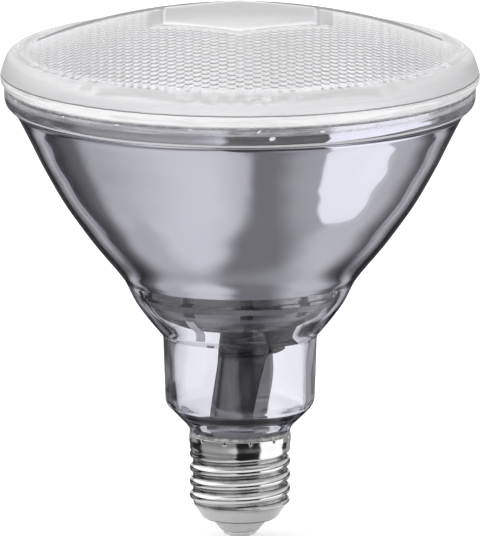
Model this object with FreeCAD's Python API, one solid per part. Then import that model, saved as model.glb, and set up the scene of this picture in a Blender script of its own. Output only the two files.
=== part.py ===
import FreeCAD, Part
import os
import math
from FreeCAD import Vector

os.makedirs("parts", exist_ok=True)

# ---------------------------------------------------------------------------
# Reflector lamp with a pressed glass body, a dimpled glass lens and an E27
# screw cap.  Millimetres.  The origin is the tip of the centre contact, +Z
# runs up the lamp's axis to the lens.
# ---------------------------------------------------------------------------

# overall
Z_WIDE = 122.0            # plane of the widest point, on the lens rim
R_LENS = 62.0             # lens radius there
# lens
DOME_R = 150.0            # spherical radius of the lens front
DOME_Z = Z_WIDE + 17.4    # where the sphere's apex would be
LENS_T = 3.2              # lens wall
PAD_FLATS = 38.0          # plain hexagon, across flats
PAD_Z = Z_WIDE + 16.4     # its flat face, the top of the lamp
LENS_RIM_Z = Z_WIDE - 1.8
FLANGE_Z = Z_WIDE - 2.4   # top face of the reflector flange
# reflector
WALL_CONE = 3.2
WALL_SHOULDER = 2.9
COAT_T = 0.15             # mirror layer, shown thicker than the real film
Z_COAT_TOP = Z_WIDE - 3.0
Z_COAT_LOW = Z_WIDE - 52.5
R_COAT_LOW = 26.6
R_STUB = 11.5             # glass stub inside the cap
R_STUB_IN = 9.0
Z_STUB = 20.0
# cap
THREAD_PITCH = 3.629
THREAD_CREST_R = 13.05
THREAD_ROOT_R = 12.15
Z_CREST_LEFT = 19.0       # height of one crest on the -X side
SHELL_T = 0.35
R_LAND = 13.2             # plain land under the rim
Z_RIM = 28.1
Z_LAND = 25.7
Z_THREAD_TOP = 25.0
Z_THREAD_LOW = 8.6
R_WAIST = 13.0
R_THREAD_LOW = 11.35
# heat sink
COL_X = 1.0               # the column stands a little off the lamp's axis
COL_WALL = 0.8
SLEEVE_T = 0.5
BOWL_T = 1.0
PAD_WIDE, PAD_DEEP = 1.04, 0.965
SLOTS, SLOT_W, SLOT_Z, SLOT_0 = 10, 3.2, 63.4, -86.0
WEB_T, WEB_DEG = 1.4, 4.0
Z_BOWL_TOP = 67.0
Z_BOWL_FLOOR = 58.7
# light board
Z_PLATE = Z_BOWL_TOP
PLATE_T = 2.0
PAD_T = 0.4
BOARD_T = 1.6
BOARD_R = 22.5
PLATE_R = 24.2
N_INNER, R_INNER = 6, 8.6
N_OUTER, R_OUTER = 12, 17.6
SCREW_PCR = 13.2


def zp(p):
    """(radius, height over the widest plane) to a point in the XZ plane."""
    return Vector(p[0], 0, p[1] + Z_WIDE)


def line(a, b):
    return Part.makeLine(a, b)


def spline(pts, t0=None, t1=None):
    c = Part.BSplineCurve()
    if t0 is not None and t1 is not None:
        c.interpolate(Points=pts, InitialTangent=t0, FinalTangent=t1)
    else:
        c.interpolate(Points=pts)
    return c.toShape()


def rev_edges(edges, axis_pt=Vector(0, 0, 0)):
    w = Part.Wire(Part.__sortEdges__(edges))
    f = Part.Face(w)
    s = f.revolve(axis_pt, Vector(0, 0, 1), 360)
    return solid_of(s)


def rev_poly(pts, cx=0.0):
    """Closed polygon of (r, z), revolved about the vertical through x = cx."""
    v = [Vector(cx + r, 0, z) for r, z in pts]
    v.append(v[0])
    f = Part.Face(Part.makePolygon(v))
    return solid_of(f.revolve(Vector(cx, 0, 0), Vector(0, 0, 1), 360))


def solid_of(s):
    if s.ShapeType != "Solid":
        s = s.Solids[0] if s.Solids else Part.Solid(Part.Shell(s.Faces))
    if s.Volume < 0:
        s.reverse()
    return s


def cyl(r, z0, z1, x=0.0, y=0.0):
    return Part.makeCylinder(r, z1 - z0, Vector(x, y, z0))


def box(x0, x1, y0, y1, z0, z1):
    return Part.makeBox(x1 - x0, y1 - y0, z1 - z0, Vector(x0, y0, z0))


def chamfered(s, size, pick):
    return s.makeChamfer(size, [e for e in s.Edges if pick(e)])


def filleted(s, size, pick):
    return s.makeFillet(size, [e for e in s.Edges if pick(e)])


def vertical(e):
    a, b = e.Vertexes[0].Point, e.Vertexes[-1].Point
    return abs(a.x - b.x) < 1e-6 and abs(a.y - b.y) < 1e-6 and abs(a.z - b.z) > 1e-6


def at_z(z):
    def f(e):
        return all(abs(v.Point.z - z) < 1e-6 for v in e.Vertexes)
    return f


def polar(r, deg):
    a = math.radians(deg)
    return r * math.cos(a), r * math.sin(a)


OUT = {}


def put(name, shape):
    OUT[name] = shape


# ---------------------------------------------------------------------------
# glass reflector body
# ---------------------------------------------------------------------------
FLANGE_SIDE = [(61.06, -2.4), (60.95, -5.4)]
FLANGE_LIP = [(60.95, -5.4), (60.8, -6.0), (60.4, -6.75), (59.7, -7.45), (58.9, -8.1), (58.0, -9.2)]
CONE_OUT = [(58.0, -9.2), (57.1, -10.75), (56.0, -12.9), (53.9, -17.1), (51.8, -21.4), (49.55, -25.6),
            (47.2, -29.8), (44.65, -33.9), (41.7, -38.1), (38.55, -42.4), (35.15, -46.6), (31.5, -51.0), (29.8, -53.3)]
SHOULDER_OUT = [(29.8, -53.3), (28.9, -55.15), (27.9, -57.2), (26.7, -59.3), (25.3, -61.3), (23.7, -63.4),
                (22.0, -65.5), (20.1, -67.8)]
NECK_OUT = [(20.1, -67.8), (19.95, -68.9)]
NECK_SIDE = [(19.95, -68.9), (19.4, -84.6)]
TAPER_OUT = [(19.4, -84.6), (19.1, -85.7), (18.1, -87.0), (16.6, -88.6), (15.0, -90.2), (14.1, -91.1),
             (13.4, -92.1), (13.0, -93.1), (12.8, -93.7)]


def offset_in(pts, t):
    """Points moved to the inside of the wall by t, along the curve's normal."""
    out = []
    for i, p in enumerate(pts):
        a = pts[max(i - 1, 0)]
        b = pts[min(i + 1, len(pts) - 1)]
        dr, dz = b[0] - a[0], b[1] - a[1]
        n = math.hypot(dr, dz)
        # outward normal of a wall that runs down and inwards
        out.append((p[0] + dz / n * t, p[1] - dr / n * t))
    return out


cone_in = [q for q in offset_in(CONE_OUT, WALL_CONE) if q[1] > -51.0]
cone_in[0] = (55.15, -7.75)
CONE_IN = cone_in + [(R_COAT_LOW, Z_COAT_LOW - Z_WIDE)]
SHOULDER_IN = [(R_COAT_LOW, Z_COAT_LOW - Z_WIDE), (25.75, -54.4), (24.9, -56.3), (23.8, -58.2), (22.5, -60.1),
               (21.0, -62.0), (19.5, -63.8), (18.2, -65.5), (17.5, -66.9), (17.2, -68.6)]
NECK_IN = [(17.2, -68.6), (16.75, -84.4)]
TAPER_IN = [(16.75, -84.4), (16.62, -85.3), (16.15, -86.1), (15.4, -86.6), (14.4, -86.9), (13.2, -87.3), (12.0, -88.0),
            (10.9, -89.2), (9.9, -91.2), (9.25, -93.8), (R_STUB_IN, -96.8)]


def spl(pts):
    return spline([zp(p) for p in pts])


def seg(a, b):
    return line(zp(a), zp(b))


I_TOP = (55.7, -2.4)
I_COAT = (55.65, -3.0)
e_cone_in = spl(CONE_IN)
glass_edges = [
    seg(I_TOP, FLANGE_SIDE[0]),
    seg(*FLANGE_SIDE), spl(FLANGE_LIP), spl(CONE_OUT), spl(SHOULDER_OUT),
    seg(*NECK_OUT), seg(*NECK_SIDE), spl(TAPER_OUT),
    seg(TAPER_OUT[-1], (R_STUB + 0.4, -93.9)),
    seg((R_STUB + 0.4, -93.9), (R_STUB, -94.6)),
    seg((R_STUB, -94.6), (R_STUB, Z_STUB + 0.8 - Z_WIDE)),
    seg((R_STUB, Z_STUB + 0.8 - Z_WIDE), (R_STUB - 0.8, Z_STUB - Z_WIDE)),
    seg((R_STUB - 0.8, Z_STUB - Z_WIDE), (R_STUB_IN, Z_STUB - Z_WIDE)),
    seg((R_STUB_IN, Z_STUB - Z_WIDE), TAPER_IN[-1]),
    spl(TAPER_IN), seg(*NECK_IN), spl(SHOULDER_IN), e_cone_in,
    seg(CONE_IN[0], I_COAT), seg(I_COAT, I_TOP),
]
reflector = rev_edges(glass_edges)
put("reflector_glass", reflector)

# mirror layer on the inside of the cone
coat_in = offset_in(CONE_IN, COAT_T)
c_low = (R_COAT_LOW - COAT_T, Z_COAT_LOW - Z_WIDE)
coat_in[-1] = c_low
coat_top = (I_COAT[0] - COAT_T, I_COAT[1])
coat_edges = [
    spl(CONE_IN), seg(CONE_IN[-1], c_low), spl(coat_in),
    seg(coat_in[0], coat_top), seg(coat_top, I_COAT), seg(I_COAT, CONE_IN[0]),
]
put("mirror_coating", rev_edges(coat_edges))

# ---------------------------------------------------------------------------
# lens, with its plain hexagon; the dimples are surface texture
# ---------------------------------------------------------------------------
DOME_C = DOME_Z - DOME_R


def dome_arc(R, r0, r1):
    def p(r):
        return Vector(r, 0, DOME_C + math.sqrt(R * R - r * r))
    return Part.Arc(p(r0), p((r0 + r1) / 2), p(r1)).toShape(), p(r0), p(r1)


arc_o, o0, o1 = dome_arc(DOME_R, 0.0, 54.6)
arc_i, i0, i1 = dome_arc(DOME_R - LENS_T, 0.0, 54.0)
RIM_OUT = [(55.6, 7.0), (56.8, 7.15), (57.9, 7.05), (58.8, 6.75), (59.5, 6.35), (60.3, 5.6), (60.85, 4.55),
           (61.25, 3.4), (61.75, 1.7), (61.97, 0.8), (R_LENS, 0.0), (61.85, -0.8), (61.35, -1.55)]
rim_o = spline([o1] + [zp(p) for p in RIM_OUT])
rim_b0 = Vector(61.0, 0, LENS_RIM_Z)
rim_b1 = Vector(57.2, 0, LENS_RIM_Z)
rim_i = spline([rim_b1, zp((56.95, 0.6)), zp((56.4, 2.3)), zp((55.4, 3.3)), i1])
lens_edges = [arc_o, rim_o, line(zp(RIM_OUT[-1]), rim_b0), line(rim_b0, rim_b1), rim_i, arc_i, line(i0, o0)]
lens = rev_edges(lens_edges)
rc = PAD_FLATS / 2 / math.cos(math.radians(30))
hexa = [Vector(*polar(rc, 90 + 60 * k), PAD_Z - 1.8) for k in range(6)]
hexa = [Vector(v.x * PAD_WIDE, v.y * PAD_DEEP, v.z) for v in hexa]     # a little wider than it is deep
hexa.append(hexa[0])
pad = Part.Face(Part.makePolygon(hexa)).extrude(Vector(0, 0, 1.8))
pad = chamfered(pad, 0.3, at_z(PAD_Z))
lens = lens.cut(box(-40, 40, -40, 40, PAD_Z, PAD_Z + 10)).fuse(pad).removeSplitter()
lens = solid_of(lens)
put("lens", lens)

put("lens_seal", rev_poly([(57.3, FLANGE_Z), (60.8, FLANGE_Z), (60.9, LENS_RIM_Z), (57.3, LENS_RIM_Z)]))

# ---------------------------------------------------------------------------
# screw cap
# ---------------------------------------------------------------------------
_h = THREAD_CREST_R - THREAD_ROOT_R
_R = ((THREAD_PITCH / 4) ** 2 + (_h / 2) ** 2) / _h     # both arcs of the round thread


def smooth(a, b, x):
    u = min(max((x - a) / (b - a), 0.0), 1.0)
    return u * u * (3 - 2 * u)


def thread_r(z, deg):
    s = z - (Z_CREST_LEFT + THREAD_PITCH * (deg - 180.0) / 360.0)
    s = abs((s + THREAD_PITCH / 2) % THREAD_PITCH - THREAD_PITCH / 2)
    if s <= THREAD_PITCH / 4:
        r = THREAD_CREST_R - _R + math.sqrt(_R * _R - s * s)
    else:
        u = THREAD_PITCH / 2 - s
        r = THREAD_ROOT_R + _R - math.sqrt(_R * _R - u * u)
    hi = smooth(23.1, 24.3, z)
    r = r * (1 - hi) + R_WAIST * hi
    lo = smooth(Z_THREAD_LOW, 10.8, z)
    base = R_THREAD_LOW + (THREAD_ROOT_R - R_THREAD_LOW) * min((z - Z_THREAD_LOW) / 2.2, 1.0)
    return base * (1 - lo) + r * lo


def thread_face(inset, nth=48, nz=62):
    rows = []
    for i in range(nth + 1):
        d = 360.0 * i / nth
        a = math.radians(d) if i < nth else 0.0
        row = []
        for j in range(nz + 1):
            z = Z_THREAD_LOW + (Z_THREAD_TOP - Z_THREAD_LOW) * j / nz
            r = thread_r(z, d) - inset
            row.append(Vector(r * math.cos(a), r * math.sin(a), z))
        rows.append(row)
    s = Part.BSplineSurface()
    s.interpolate(rows)
    u0, u1, v0, v1 = s.bounds()
    um = s.getUKnots()[len(s.getUKnots()) // 2]
    halves = []
    for a, b in ((u0, um), (um, u1)):
        h = s.copy()
        h.segment(a, b, v0, v1)
        halves.append(h.toShape())
    return halves


def rev_faces(pts, turn):
    """Faces of revolution in two parts, which meet where the thread's two parts do."""
    faces = []
    for a, b in zip(pts, pts[1:]):
        e = line(Vector(a[0], 0, a[1]), Vector(b[0], 0, b[1]))
        faces += e.revolve(Vector(0, 0, 0), Vector(0, 0, 1), turn).Faces
        e = e.copy()
        e.rotate(Vector(0, 0, 0), Vector(0, 0, 1), turn)
        faces += e.revolve(Vector(0, 0, 0), Vector(0, 0, 1), 360 - turn).Faces
    return faces


SHELL_LOW_OUT = [(R_THREAD_LOW, Z_THREAD_LOW), (10.9, 8.0), (10.15, 6.7), (9.7, 6.1), (9.1, 5.75), (8.4, 5.6), (7.7, 5.6)]
SHELL_LOW_IN = [(7.7, 5.95), (8.4, 5.95), (8.95, 6.1), (9.45, 6.4), (9.82, 6.9), (10.55, 8.15), (R_THREAD_LOW - SHELL_T, Z_THREAD_LOW)]
thread_o, thread_i = thread_face(0.0), thread_face(SHELL_T)


def end_edges(halves, z):
    """The thread's edge at height z, one per half."""
    return [next(e for e in f.Edges if all(abs(v.Point.z - z) < 1e-6 for v in e.Vertexes)) for f in halves]


def ruled_to(edges, r, z):
    """Ruled faces from the thread's end to a true circle, made in the same halves."""
    faces = []
    for e in edges:
        a, b = (math.degrees(math.atan2(v.Point.y, v.Point.x)) % 360 for v in e.Vertexes)
        mid = e.valueAt((e.FirstParameter + e.LastParameter) / 2)
        m = math.degrees(math.atan2(mid.y, mid.x)) % 360
        pts = [Vector(*polar(r, q), z) for q in (0 if m < 180 else 180, m, 180 if m < 180 else 360)]
        faces.append(Part.makeRuledSurface(e, Part.Arc(*pts).toShape()))
    return faces


turn = 180.0
shell_faces = thread_o + thread_i
shell_faces += ruled_to(end_edges(thread_o, Z_THREAD_TOP), R_LAND, Z_LAND)
shell_faces += ruled_to(end_edges(thread_i, Z_THREAD_TOP), R_LAND - SHELL_T, Z_LAND + 0.1)
shell_faces += ruled_to(end_edges(thread_o, Z_THREAD_LOW), *SHELL_LOW_OUT[1])
shell_faces += ruled_to(end_edges(thread_i, Z_THREAD_LOW), *SHELL_LOW_IN[-2])
shell_faces += rev_faces([(R_LAND, Z_LAND), (R_LAND, Z_RIM), (R_LAND - SHELL_T, Z_RIM), (R_LAND - SHELL_T, Z_LAND + 0.1)], turn)
shell_faces += rev_faces(SHELL_LOW_OUT[1:] + SHELL_LOW_IN[:-1], turn)
sewn = Part.Compound(shell_faces)
sewn.sewShape()
shell = solid_of(Part.Solid(max(sewn.Shells, key=lambda q: len(q.Faces))))
# punch marks that key the shell to the cement, at the rim
PUNCHES, PUNCH_0 = 12, 282.0
for k in range(PUNCHES):
    x, y = polar(R_LAND + 0.25, PUNCH_0 + 360.0 / PUNCHES * k)
    shell = shell.cut(Part.makeSphere(0.5, Vector(x, y, Z_RIM - 0.15)))
shell = solid_of(shell)
put("screw_shell", shell)

# insulator: cone below the shell, and a plug that fills the shell's lower end
INS_LOW = [(0.9, 2.5), (4.6, 2.5), (5.05, 2.75), (5.35, 3.2), (7.55, 5.6), (7.7, 5.6)]
ins_pts = INS_LOW + SHELL_LOW_IN[:-1] + [(10.55, 10.6), (0.9, 10.6)]
put("cap_insulator", rev_poly(ins_pts))

put("contact_plate", rev_poly([(0.8, 1.5), (4.0, 1.5), (4.35, 1.75), (4.35, 2.5), (0.8, 2.5)]))
put("contact_solder", rev_poly([(0, 0), (1.3, 0), (2.1, 0.35), (2.6, 0.95), (2.75, 1.5), (0.8, 1.5), (0.8, 2.5),
                                (0.45, 2.5), (0.45, 1.2), (0, 1.2)]))

# cement between the glass and the shell, above the thread; it shows at the rim
cement = rev_poly([(R_STUB, Z_LAND - 0.5), (12.3, Z_LAND - 0.5), (12.3, Z_LAND + 0.1), (R_LAND - SHELL_T, Z_LAND + 0.1),
                   (R_LAND - SHELL_T, Z_RIM), (13.0, Z_RIM + 0.5), (12.5, Z_RIM + 1.0), (R_STUB, Z_RIM + 1.0)])
cement = solid_of(cement.cut(reflector))
put("cap_cement", cement)

# ---------------------------------------------------------------------------
# heat sink: bowl, and a tapered column with one flat side
# ---------------------------------------------------------------------------
BOWL_OUT = [(25.0, 67.0), (24.9, 66.2), (24.3, 65.0), (23.4, 63.7), (22.3, 62.4), (20.9, 61.1), (19.6, 60.1),
            (18.3, 59.3), (16.9, 58.8), (15.6, Z_BOWL_FLOOR)]
BOWL_IN = [(14.8, Z_BOWL_FLOOR + 1.0), (16.4, 59.75), (17.8, 60.2), (19.0, 60.95), (20.2, 61.9), (21.5, 63.1),
           (22.5, 64.3), (23.3, 65.6), (23.9, 66.6), (24.0, 67.0)]
bowl = rev_poly([(3.0, Z_BOWL_FLOOR), (3.0, Z_BOWL_FLOOR + 1.0)] + BOWL_IN + BOWL_OUT)
COL = [(9.4, 31.5), (9.06, 33.8), (7.9, 41.8), (6.7, 50.0), (6.3, 55.0), (6.35, 56.4), (6.8, 57.5), (7.7, 58.3), (9.0, Z_BOWL_FLOOR)]


def inset(pts, d):
    return [(r - d, z) for r, z in pts]


COL_IN = inset(COL[:5], COL_WALL) + [(6.3 - COL_WALL, Z_BOWL_FLOOR + 1.0)]
FLAT_DEG = -16.0          # the flat side looks to +X and a little to -Y


def flat_cutter(d_low, d_top, z_low=33.8, z_top=50.0):
    """Half-space beyond the sloping flat side, as a long prism."""
    k = (d_top - d_low) / (z_top - z_low)
    z0, z1 = 10.0, 56.0
    p = [Vector(d_low, 0, z0), Vector(40, 0, z0), Vector(40, 0, z1), Vector(d_low + k * (z1 - z_low), 0, z1), Vector(d_low, 0, z_low)]
    p = [v + Vector(0, -30, 0) for v in p]
    s = Part.Face(Part.makePolygon(p + [p[0]])).extrude(Vector(0, 60, 0))
    s.rotate(Vector(0, 0, 0), Vector(0, 0, 1), FLAT_DEG)
    s.translate(Vector(COL_X, 0, 0))
    return s


FLAT_LOW, FLAT_TOP = 4.63, 6.30
cut_o = flat_cutter(FLAT_LOW, FLAT_TOP)
cut_i = flat_cutter(FLAT_LOW - COL_WALL, FLAT_TOP - COL_WALL)
cut_s = flat_cutter(FLAT_LOW - COL_WALL - SLEEVE_T, FLAT_TOP - COL_WALL - SLEEVE_T)
col = rev_poly(COL + [(0, Z_BOWL_FLOOR), (0, 31.5)], COL_X).cut(cut_o)
z_a, z_b = 20.0, Z_BOWL_FLOOR + 3.0


def bore(d):
    """The column's own bore, d inside its outer surface, past both its ends."""
    lo = 8.5 - d          # the sleeve goes on below the column, into the glass stub
    pts = [(0, z_a), (lo, z_a), (lo, 28.8)] + inset(COL[:5], d) + [(COL[4][0] - d, z_b), (0, z_b)]
    return rev_poly(pts, COL_X)


bore_col = bore(COL_WALL).cut(cut_i)
bore_sleeve = bore(COL_WALL + SLEEVE_T).cut(cut_s)
sink = bowl.fuse(col).fuse(rev_poly([(0, Z_BOWL_FLOOR), (9.0, Z_BOWL_FLOOR), (9.0, Z_BOWL_FLOOR + 1.0), (0, Z_BOWL_FLOOR + 1.0)], COL_X))
sink = solid_of(sink.cut(bore_col).removeSplitter())
# ten slots in the bowl's rim
for k in range(SLOTS):
    slot = box(20.0, 30.0, -SLOT_W / 2, SLOT_W / 2, SLOT_Z, Z_BOWL_TOP + 1.0)
    slot.rotate(Vector(0, 0, 0), Vector(0, 0, 1), SLOT_0 + 360.0 / SLOTS * k)
    sink = sink.cut(slot)
# web that stiffens the column under the bowl, on its right
WEB = [(3.9, 48.9), (8.6, 49.3), (12.2, 51.0), (14.6, 53.2), (15.3, 54.6), (15.3, Z_BOWL_FLOOR + 0.4), (3.9, Z_BOWL_FLOOR + 0.4)]
web = Part.Face(Part.makePolygon([Vector(x, -WEB_T / 2, z) for x, z in WEB + WEB[:1]])).extrude(Vector(0, WEB_T, 0))
web.rotate(Vector(0, 0, 0), Vector(0, 0, 1), WEB_DEG)
web = web.cut(bore_col)
sink = solid_of(sink.fuse(web).removeSplitter())
put("heat_sink", sink)

SLEEVE_Z0, SLEEVE_Z1 = 22.6, Z_BOWL_FLOOR + 1.0
slab = box(-20, 20, -20, 20, SLEEVE_Z0, SLEEVE_Z1)
put("insulating_sleeve", solid_of(bore_col.cut(bore_sleeve).common(slab)))

# silicone between the bowl and the glass
ring = rev_poly([(24.0, 64.7), (27.4, 64.7), (27.4, 66.1), (24.0, 66.1)])
ring = ring.cut(sink).cut(reflector)
ring = solid_of(ring)
put("heat_sink_adhesive", ring)

# spring fingers under the bowl's edge, pressing towards the glass
clips = []
CLIP_W, CLIP_T = 2.3, 0.35
for deg in (270 - 33, 270 + 87, 270 + 207):
    o = [(22.75, 62.35), (21.2, 60.85), (19.75, 59.75), (18.55, 58.95), (17.95, 58.2), (17.75, 57.3), (17.95, 56.6)]
    i = [(17.65, 56.5), (17.42, 57.25), (17.6, 58.3), (18.25, 59.15), (19.4, 59.85), (20.7, 60.8), (22.2, 62.2), (22.2, 62.75)]
    pts = [Vector(r, -CLIP_W / 2, z) for r, z in o + i]
    s = Part.Face(Part.makePolygon(pts + [pts[0]])).extrude(Vector(0, CLIP_W, 0))
    s.rotate(Vector(0, 0, 0), Vector(0, 0, 1), deg)
    s = s.cut(sink).cut(reflector)
    clips.append(max(s.Solids, key=lambda q: q.Volume))
put("retaining_clips", Part.Compound(clips))

# ---------------------------------------------------------------------------
# light board
# ---------------------------------------------------------------------------
Z_PAD0 = Z_PLATE + PLATE_T
Z_BRD0 = Z_PAD0 + PAD_T
Z_BRD1 = Z_BRD0 + BOARD_T
WIRE_HOLE = 3.7


def disc(r, z0, z1, screw_r):
    s = cyl(r, z0, z1).cut(cyl(WIRE_HOLE, z0, z1))
    for k in range(3):
        x, y = polar(SCREW_PCR, 45 + 120 * k)
        s = s.cut(cyl(screw_r, z0, z1, x, y))
    return s


plate = disc(PLATE_R, Z_PLATE, Z_PAD0, 1.2)
for k in range(SLOTS):                          # the bowl's slots go on through the plate's edge
    slot = box(22.8, 30.0, -SLOT_W / 2, SLOT_W / 2, Z_PLATE - 1.0, Z_PAD0 + 1.0)
    slot.rotate(Vector(0, 0, 0), Vector(0, 0, 1), SLOT_0 + 360.0 / SLOTS * k)
    plate = plate.cut(slot)
put("spreader_plate", solid_of(plate))
put("thermal_pad", solid_of(disc(BOARD_R, Z_PAD0, Z_BRD0, 1.4)))
put("led_board", solid_of(disc(BOARD_R, Z_BRD0, Z_BRD1, 1.4)))

packs, phos = [], []
PK, PK_H = 3.0, 0.7
spots = [(R_INNER, 360.0 / N_INNER * k + 15) for k in range(N_INNER)] + [(R_OUTER, 360.0 / N_OUTER * k) for k in range(N_OUTER)]
for r, d in spots:
    x, y = polar(r, d)
    b = box(-PK / 2, PK / 2, -PK / 2, PK / 2, 0, PK_H)
    b = chamfered(b, 0.35, vertical)
    b = b.cut(Part.makeCone(1.1, 1.25, 0.45, Vector(0, 0, PK_H - 0.45)))
    f = Part.makeCone(1.1, 1.235, 0.4, Vector(0, 0, PK_H - 0.45))
    for s in (b, f):
        s.rotate(Vector(0, 0, 0), Vector(0, 0, 1), d)
        s.translate(Vector(x, y, Z_BRD1))
    packs.append(solid_of(b))
    phos.append(f.cut(b).Solids[0])
put("led_packages", Part.Compound(packs))
put("led_phosphors", Part.Compound(phos))

screws = []
for k in range(3):
    x, y = polar(SCREW_PCR, 45 + 120 * k)
    h = rev_poly([(0, 0), (2.2, 0), (2.2, 0.9), (1.9, 1.3), (1.2, 1.55), (0, 1.6)])
    h = h.cut(box(-1.5, 1.5, -0.28, 0.28, 0.9, 2.0)).cut(box(-0.28, 0.28, -1.5, 1.5, 0.9, 2.0))
    h.rotate(Vector(0, 0, 0), Vector(0, 0, 1), 17 + 40 * k)
    h.translate(Vector(x, y, Z_BRD1))
    s = h.fuse(cyl(1.2, Z_PLATE + 0.4, Z_BRD1, x, y))
    screws.append(solid_of(s.removeSplitter()))
put("board_screws", Part.Compound(screws))

# ---------------------------------------------------------------------------
# driver
# ---------------------------------------------------------------------------
BX0, BX1 = COL_X + 0.8, COL_X + 2.0        # the board's two faces
Z_HEAD0, Z_HEAD1 = 60.1, 66.3
Z_STEM0 = 22.4
brd = box(BX0, BX1, -4.3, 4.3, Z_STEM0, Z_HEAD0).fuse(box(BX0, BX1, -12.5, 12.5, Z_HEAD0, Z_HEAD1)).removeSplitter()
brd = brd.cut(Part.makeCylinder(0.6, BX1 - BX0, Vector(BX0, 3.0, Z_STEM0 + 1.6), Vector(1, 0, 0)))
put("driver_board", solid_of(brd))

tx0 = BX0 - 10.4
core = box(tx0, BX0 - 0.8, -5.2, 5.2, 61.0, 65.4)
window = box(tx0 + 1.6, BX0 - 2.4, -3.6, 3.6, 61.0, 65.4)
post = box(tx0 + 3.9, BX0 - 4.7, -3.6, 3.6, 62.0, 64.4)
core = chamfered(core, 0.25, lambda e: True).cut(window).fuse(post).removeSplitter()
put("transformer_core", solid_of(core))
coil = box(tx0 + 1.8, BX0 - 2.6, -3.3, 3.3, 60.2, 66.2)
coil = filleted(coil, 1.4, lambda e: abs(e.Vertexes[0].Point.y - e.Vertexes[-1].Point.y) > 1).cut(core)
for y in (-1.6, 1.6):
    for z in (60.35, 65.5):
        coil = coil.fuse(box(BX0 - 4.0, BX0, y - 0.3, y + 0.3, z, z + 0.55))
put("transformer_coil", solid_of(coil.removeSplitter()))

# choke on the other side of the board's head
ch = rev_poly([(0, 0), (3.0, 0), (3.0, 1.0), (2.3, 1.1), (2.3, 4.4), (3.0, 4.5), (3.0, 5.5), (0, 5.5)])
ch.rotate(Vector(0, 0, 0), Vector(0, 1, 0), 90)
ch.translate(Vector(BX1, 0, 63.2))
put("input_choke", solid_of(ch))

# electrolytic capacitor on the stem
CAP_X, CAP_R = COL_X - 2.5, 3.15
cap = rev_poly([(0, 0), (2.7, 0), (CAP_R, 0.4), (CAP_R, 1.2), (CAP_R - 0.3, 1.5), (CAP_R, 1.8), (CAP_R, 11.0), (CAP_R - 0.35, 11.35),
                (2.2, 11.35), (2.1, 11.2), (0, 11.2)])
cap.translate(Vector(CAP_X, 0, 34.0))
legs = [box(CAP_X + 0.8, BX0, y - 0.25, y + 0.25, 33.0, 33.5).fuse(box(CAP_X + 0.8, CAP_X + 1.3, y - 0.25, y + 0.25, 33.0, 34.0)) for y in (-1.25, 1.25)]
for l in legs:
    cap = cap.fuse(l)
put("smoothing_capacitor", solid_of(cap.removeSplitter()))

fc = filleted(box(BX0 - 3.2, BX0, -2.8, 2.8, 46.6, 52.6), 0.5, lambda e: True)
put("film_capacitor", solid_of(fc))
br = chamfered(box(BX0 - 2.5, BX0, -2.35, 2.35, 27.6, 31.6), 0.3, lambda e: abs(e.Vertexes[0].Point.x - (BX0 - 2.5)) < 1e-6 and abs(e.Vertexes[-1].Point.x - (BX0 - 2.5)) < 1e-6)
put("bridge_rectifier", solid_of(br))
ic = box(BX1, BX1 + 1.4, -2.0, 2.0, 48.0, 53.0)
ic = chamfered(ic, 0.25, lambda e: abs(e.Vertexes[0].Point.x - (BX1 + 1.4)) < 1e-6 and abs(e.Vertexes[-1].Point.x - (BX1 + 1.4)) < 1e-6)
for k in range(4):
    for sgn in (-1, 1):
        zc = 48.6 + 1.27 * k
        ic = ic.fuse(box(BX1, BX1 + 0.5, min(sgn * 2.0, sgn * 3.0), max(sgn * 2.0, sgn * 3.0), zc - 0.2, zc + 0.2))
put("driver_chip", solid_of(ic.removeSplitter()))
fr = rev_poly([(0, -3.4), (0.3, -3.4), (0.3, -2.6), (1.0, -2.6), (1.2, -2.3), (1.2, -1.3), (1.0, -1.0), (1.0, 1.0), (1.2, 1.3), (1.2, 2.3),
               (1.0, 2.6), (0.3, 2.6), (0.3, 3.4), (0, 3.4)])
fr.rotate(Vector(0, 0, 0), Vector(1, 0, 0), 90)
fr.translate(Vector(BX0 - 1.2, 0, 25.4))
put("fuse_resistor", solid_of(fr))


# ---------------------------------------------------------------------------
# wires: straight runs joined by tangent arcs
# ---------------------------------------------------------------------------
def path(points, radii):
    edges = []
    prev = points[0]
    for k in range(1, len(points) - 1):
        a, b, c = points[k - 1], points[k], points[k + 1]
        u = (a - b).normalize()
        w = (c - b).normalize()
        ang = math.acos(max(-1.0, min(1.0, u.dot(w))))
        d = radii[k - 1] / math.tan(ang / 2)
        p0 = b + u * d
        p1 = b + w * d
        bis = (u + w).normalize()
        mid = b + bis * (math.hypot(radii[k - 1], d) - radii[k - 1])
        edges.append(line(prev, p0))
        edges.append(Part.Arc(p0, mid, p1).toShape())
        prev = p1
    edges.append(line(prev, points[-1]))
    return Part.Wire(edges)


def tube(points, radii, r):
    w = path(points, radii) if len(points) > 2 else Part.Wire([line(points[0], points[1])])
    d = (points[1] - points[0]).normalize()
    prof = Part.Wire([Part.makeCircle(r, points[0], d)])
    return solid_of(w.makePipeShell([prof], True, False))


LEAD_R = 0.5
for name, sy in (("led_lead_positive", -1), ("led_lead_negative", 1)):
    x = BX0 + 0.6
    p = [Vector(x, sy * 1.3, Z_HEAD1), Vector(x, sy * 1.3, Z_BRD1 + 2.0), Vector(x, sy * 4.9, Z_BRD1 + 2.0), Vector(x, sy * 4.9, Z_BRD1 + 0.3)]
    put(name, tube(p, [1.1, 1.1], LEAD_R))
joints = []
for sy in (-1, 1):
    s = rev_poly([(0, 0), (1.1, 0), (0.95, 0.35), (0.65, 0.75), (0, 0.95)])
    s.translate(Vector(BX0 + 0.6, sy * 4.9, Z_BRD1))
    joints.append(s.cut(OUT["led_lead_positive"]).cut(OUT["led_lead_negative"]).Solids[0])
put("lead_solder_joints", Part.Compound(joints))

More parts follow.
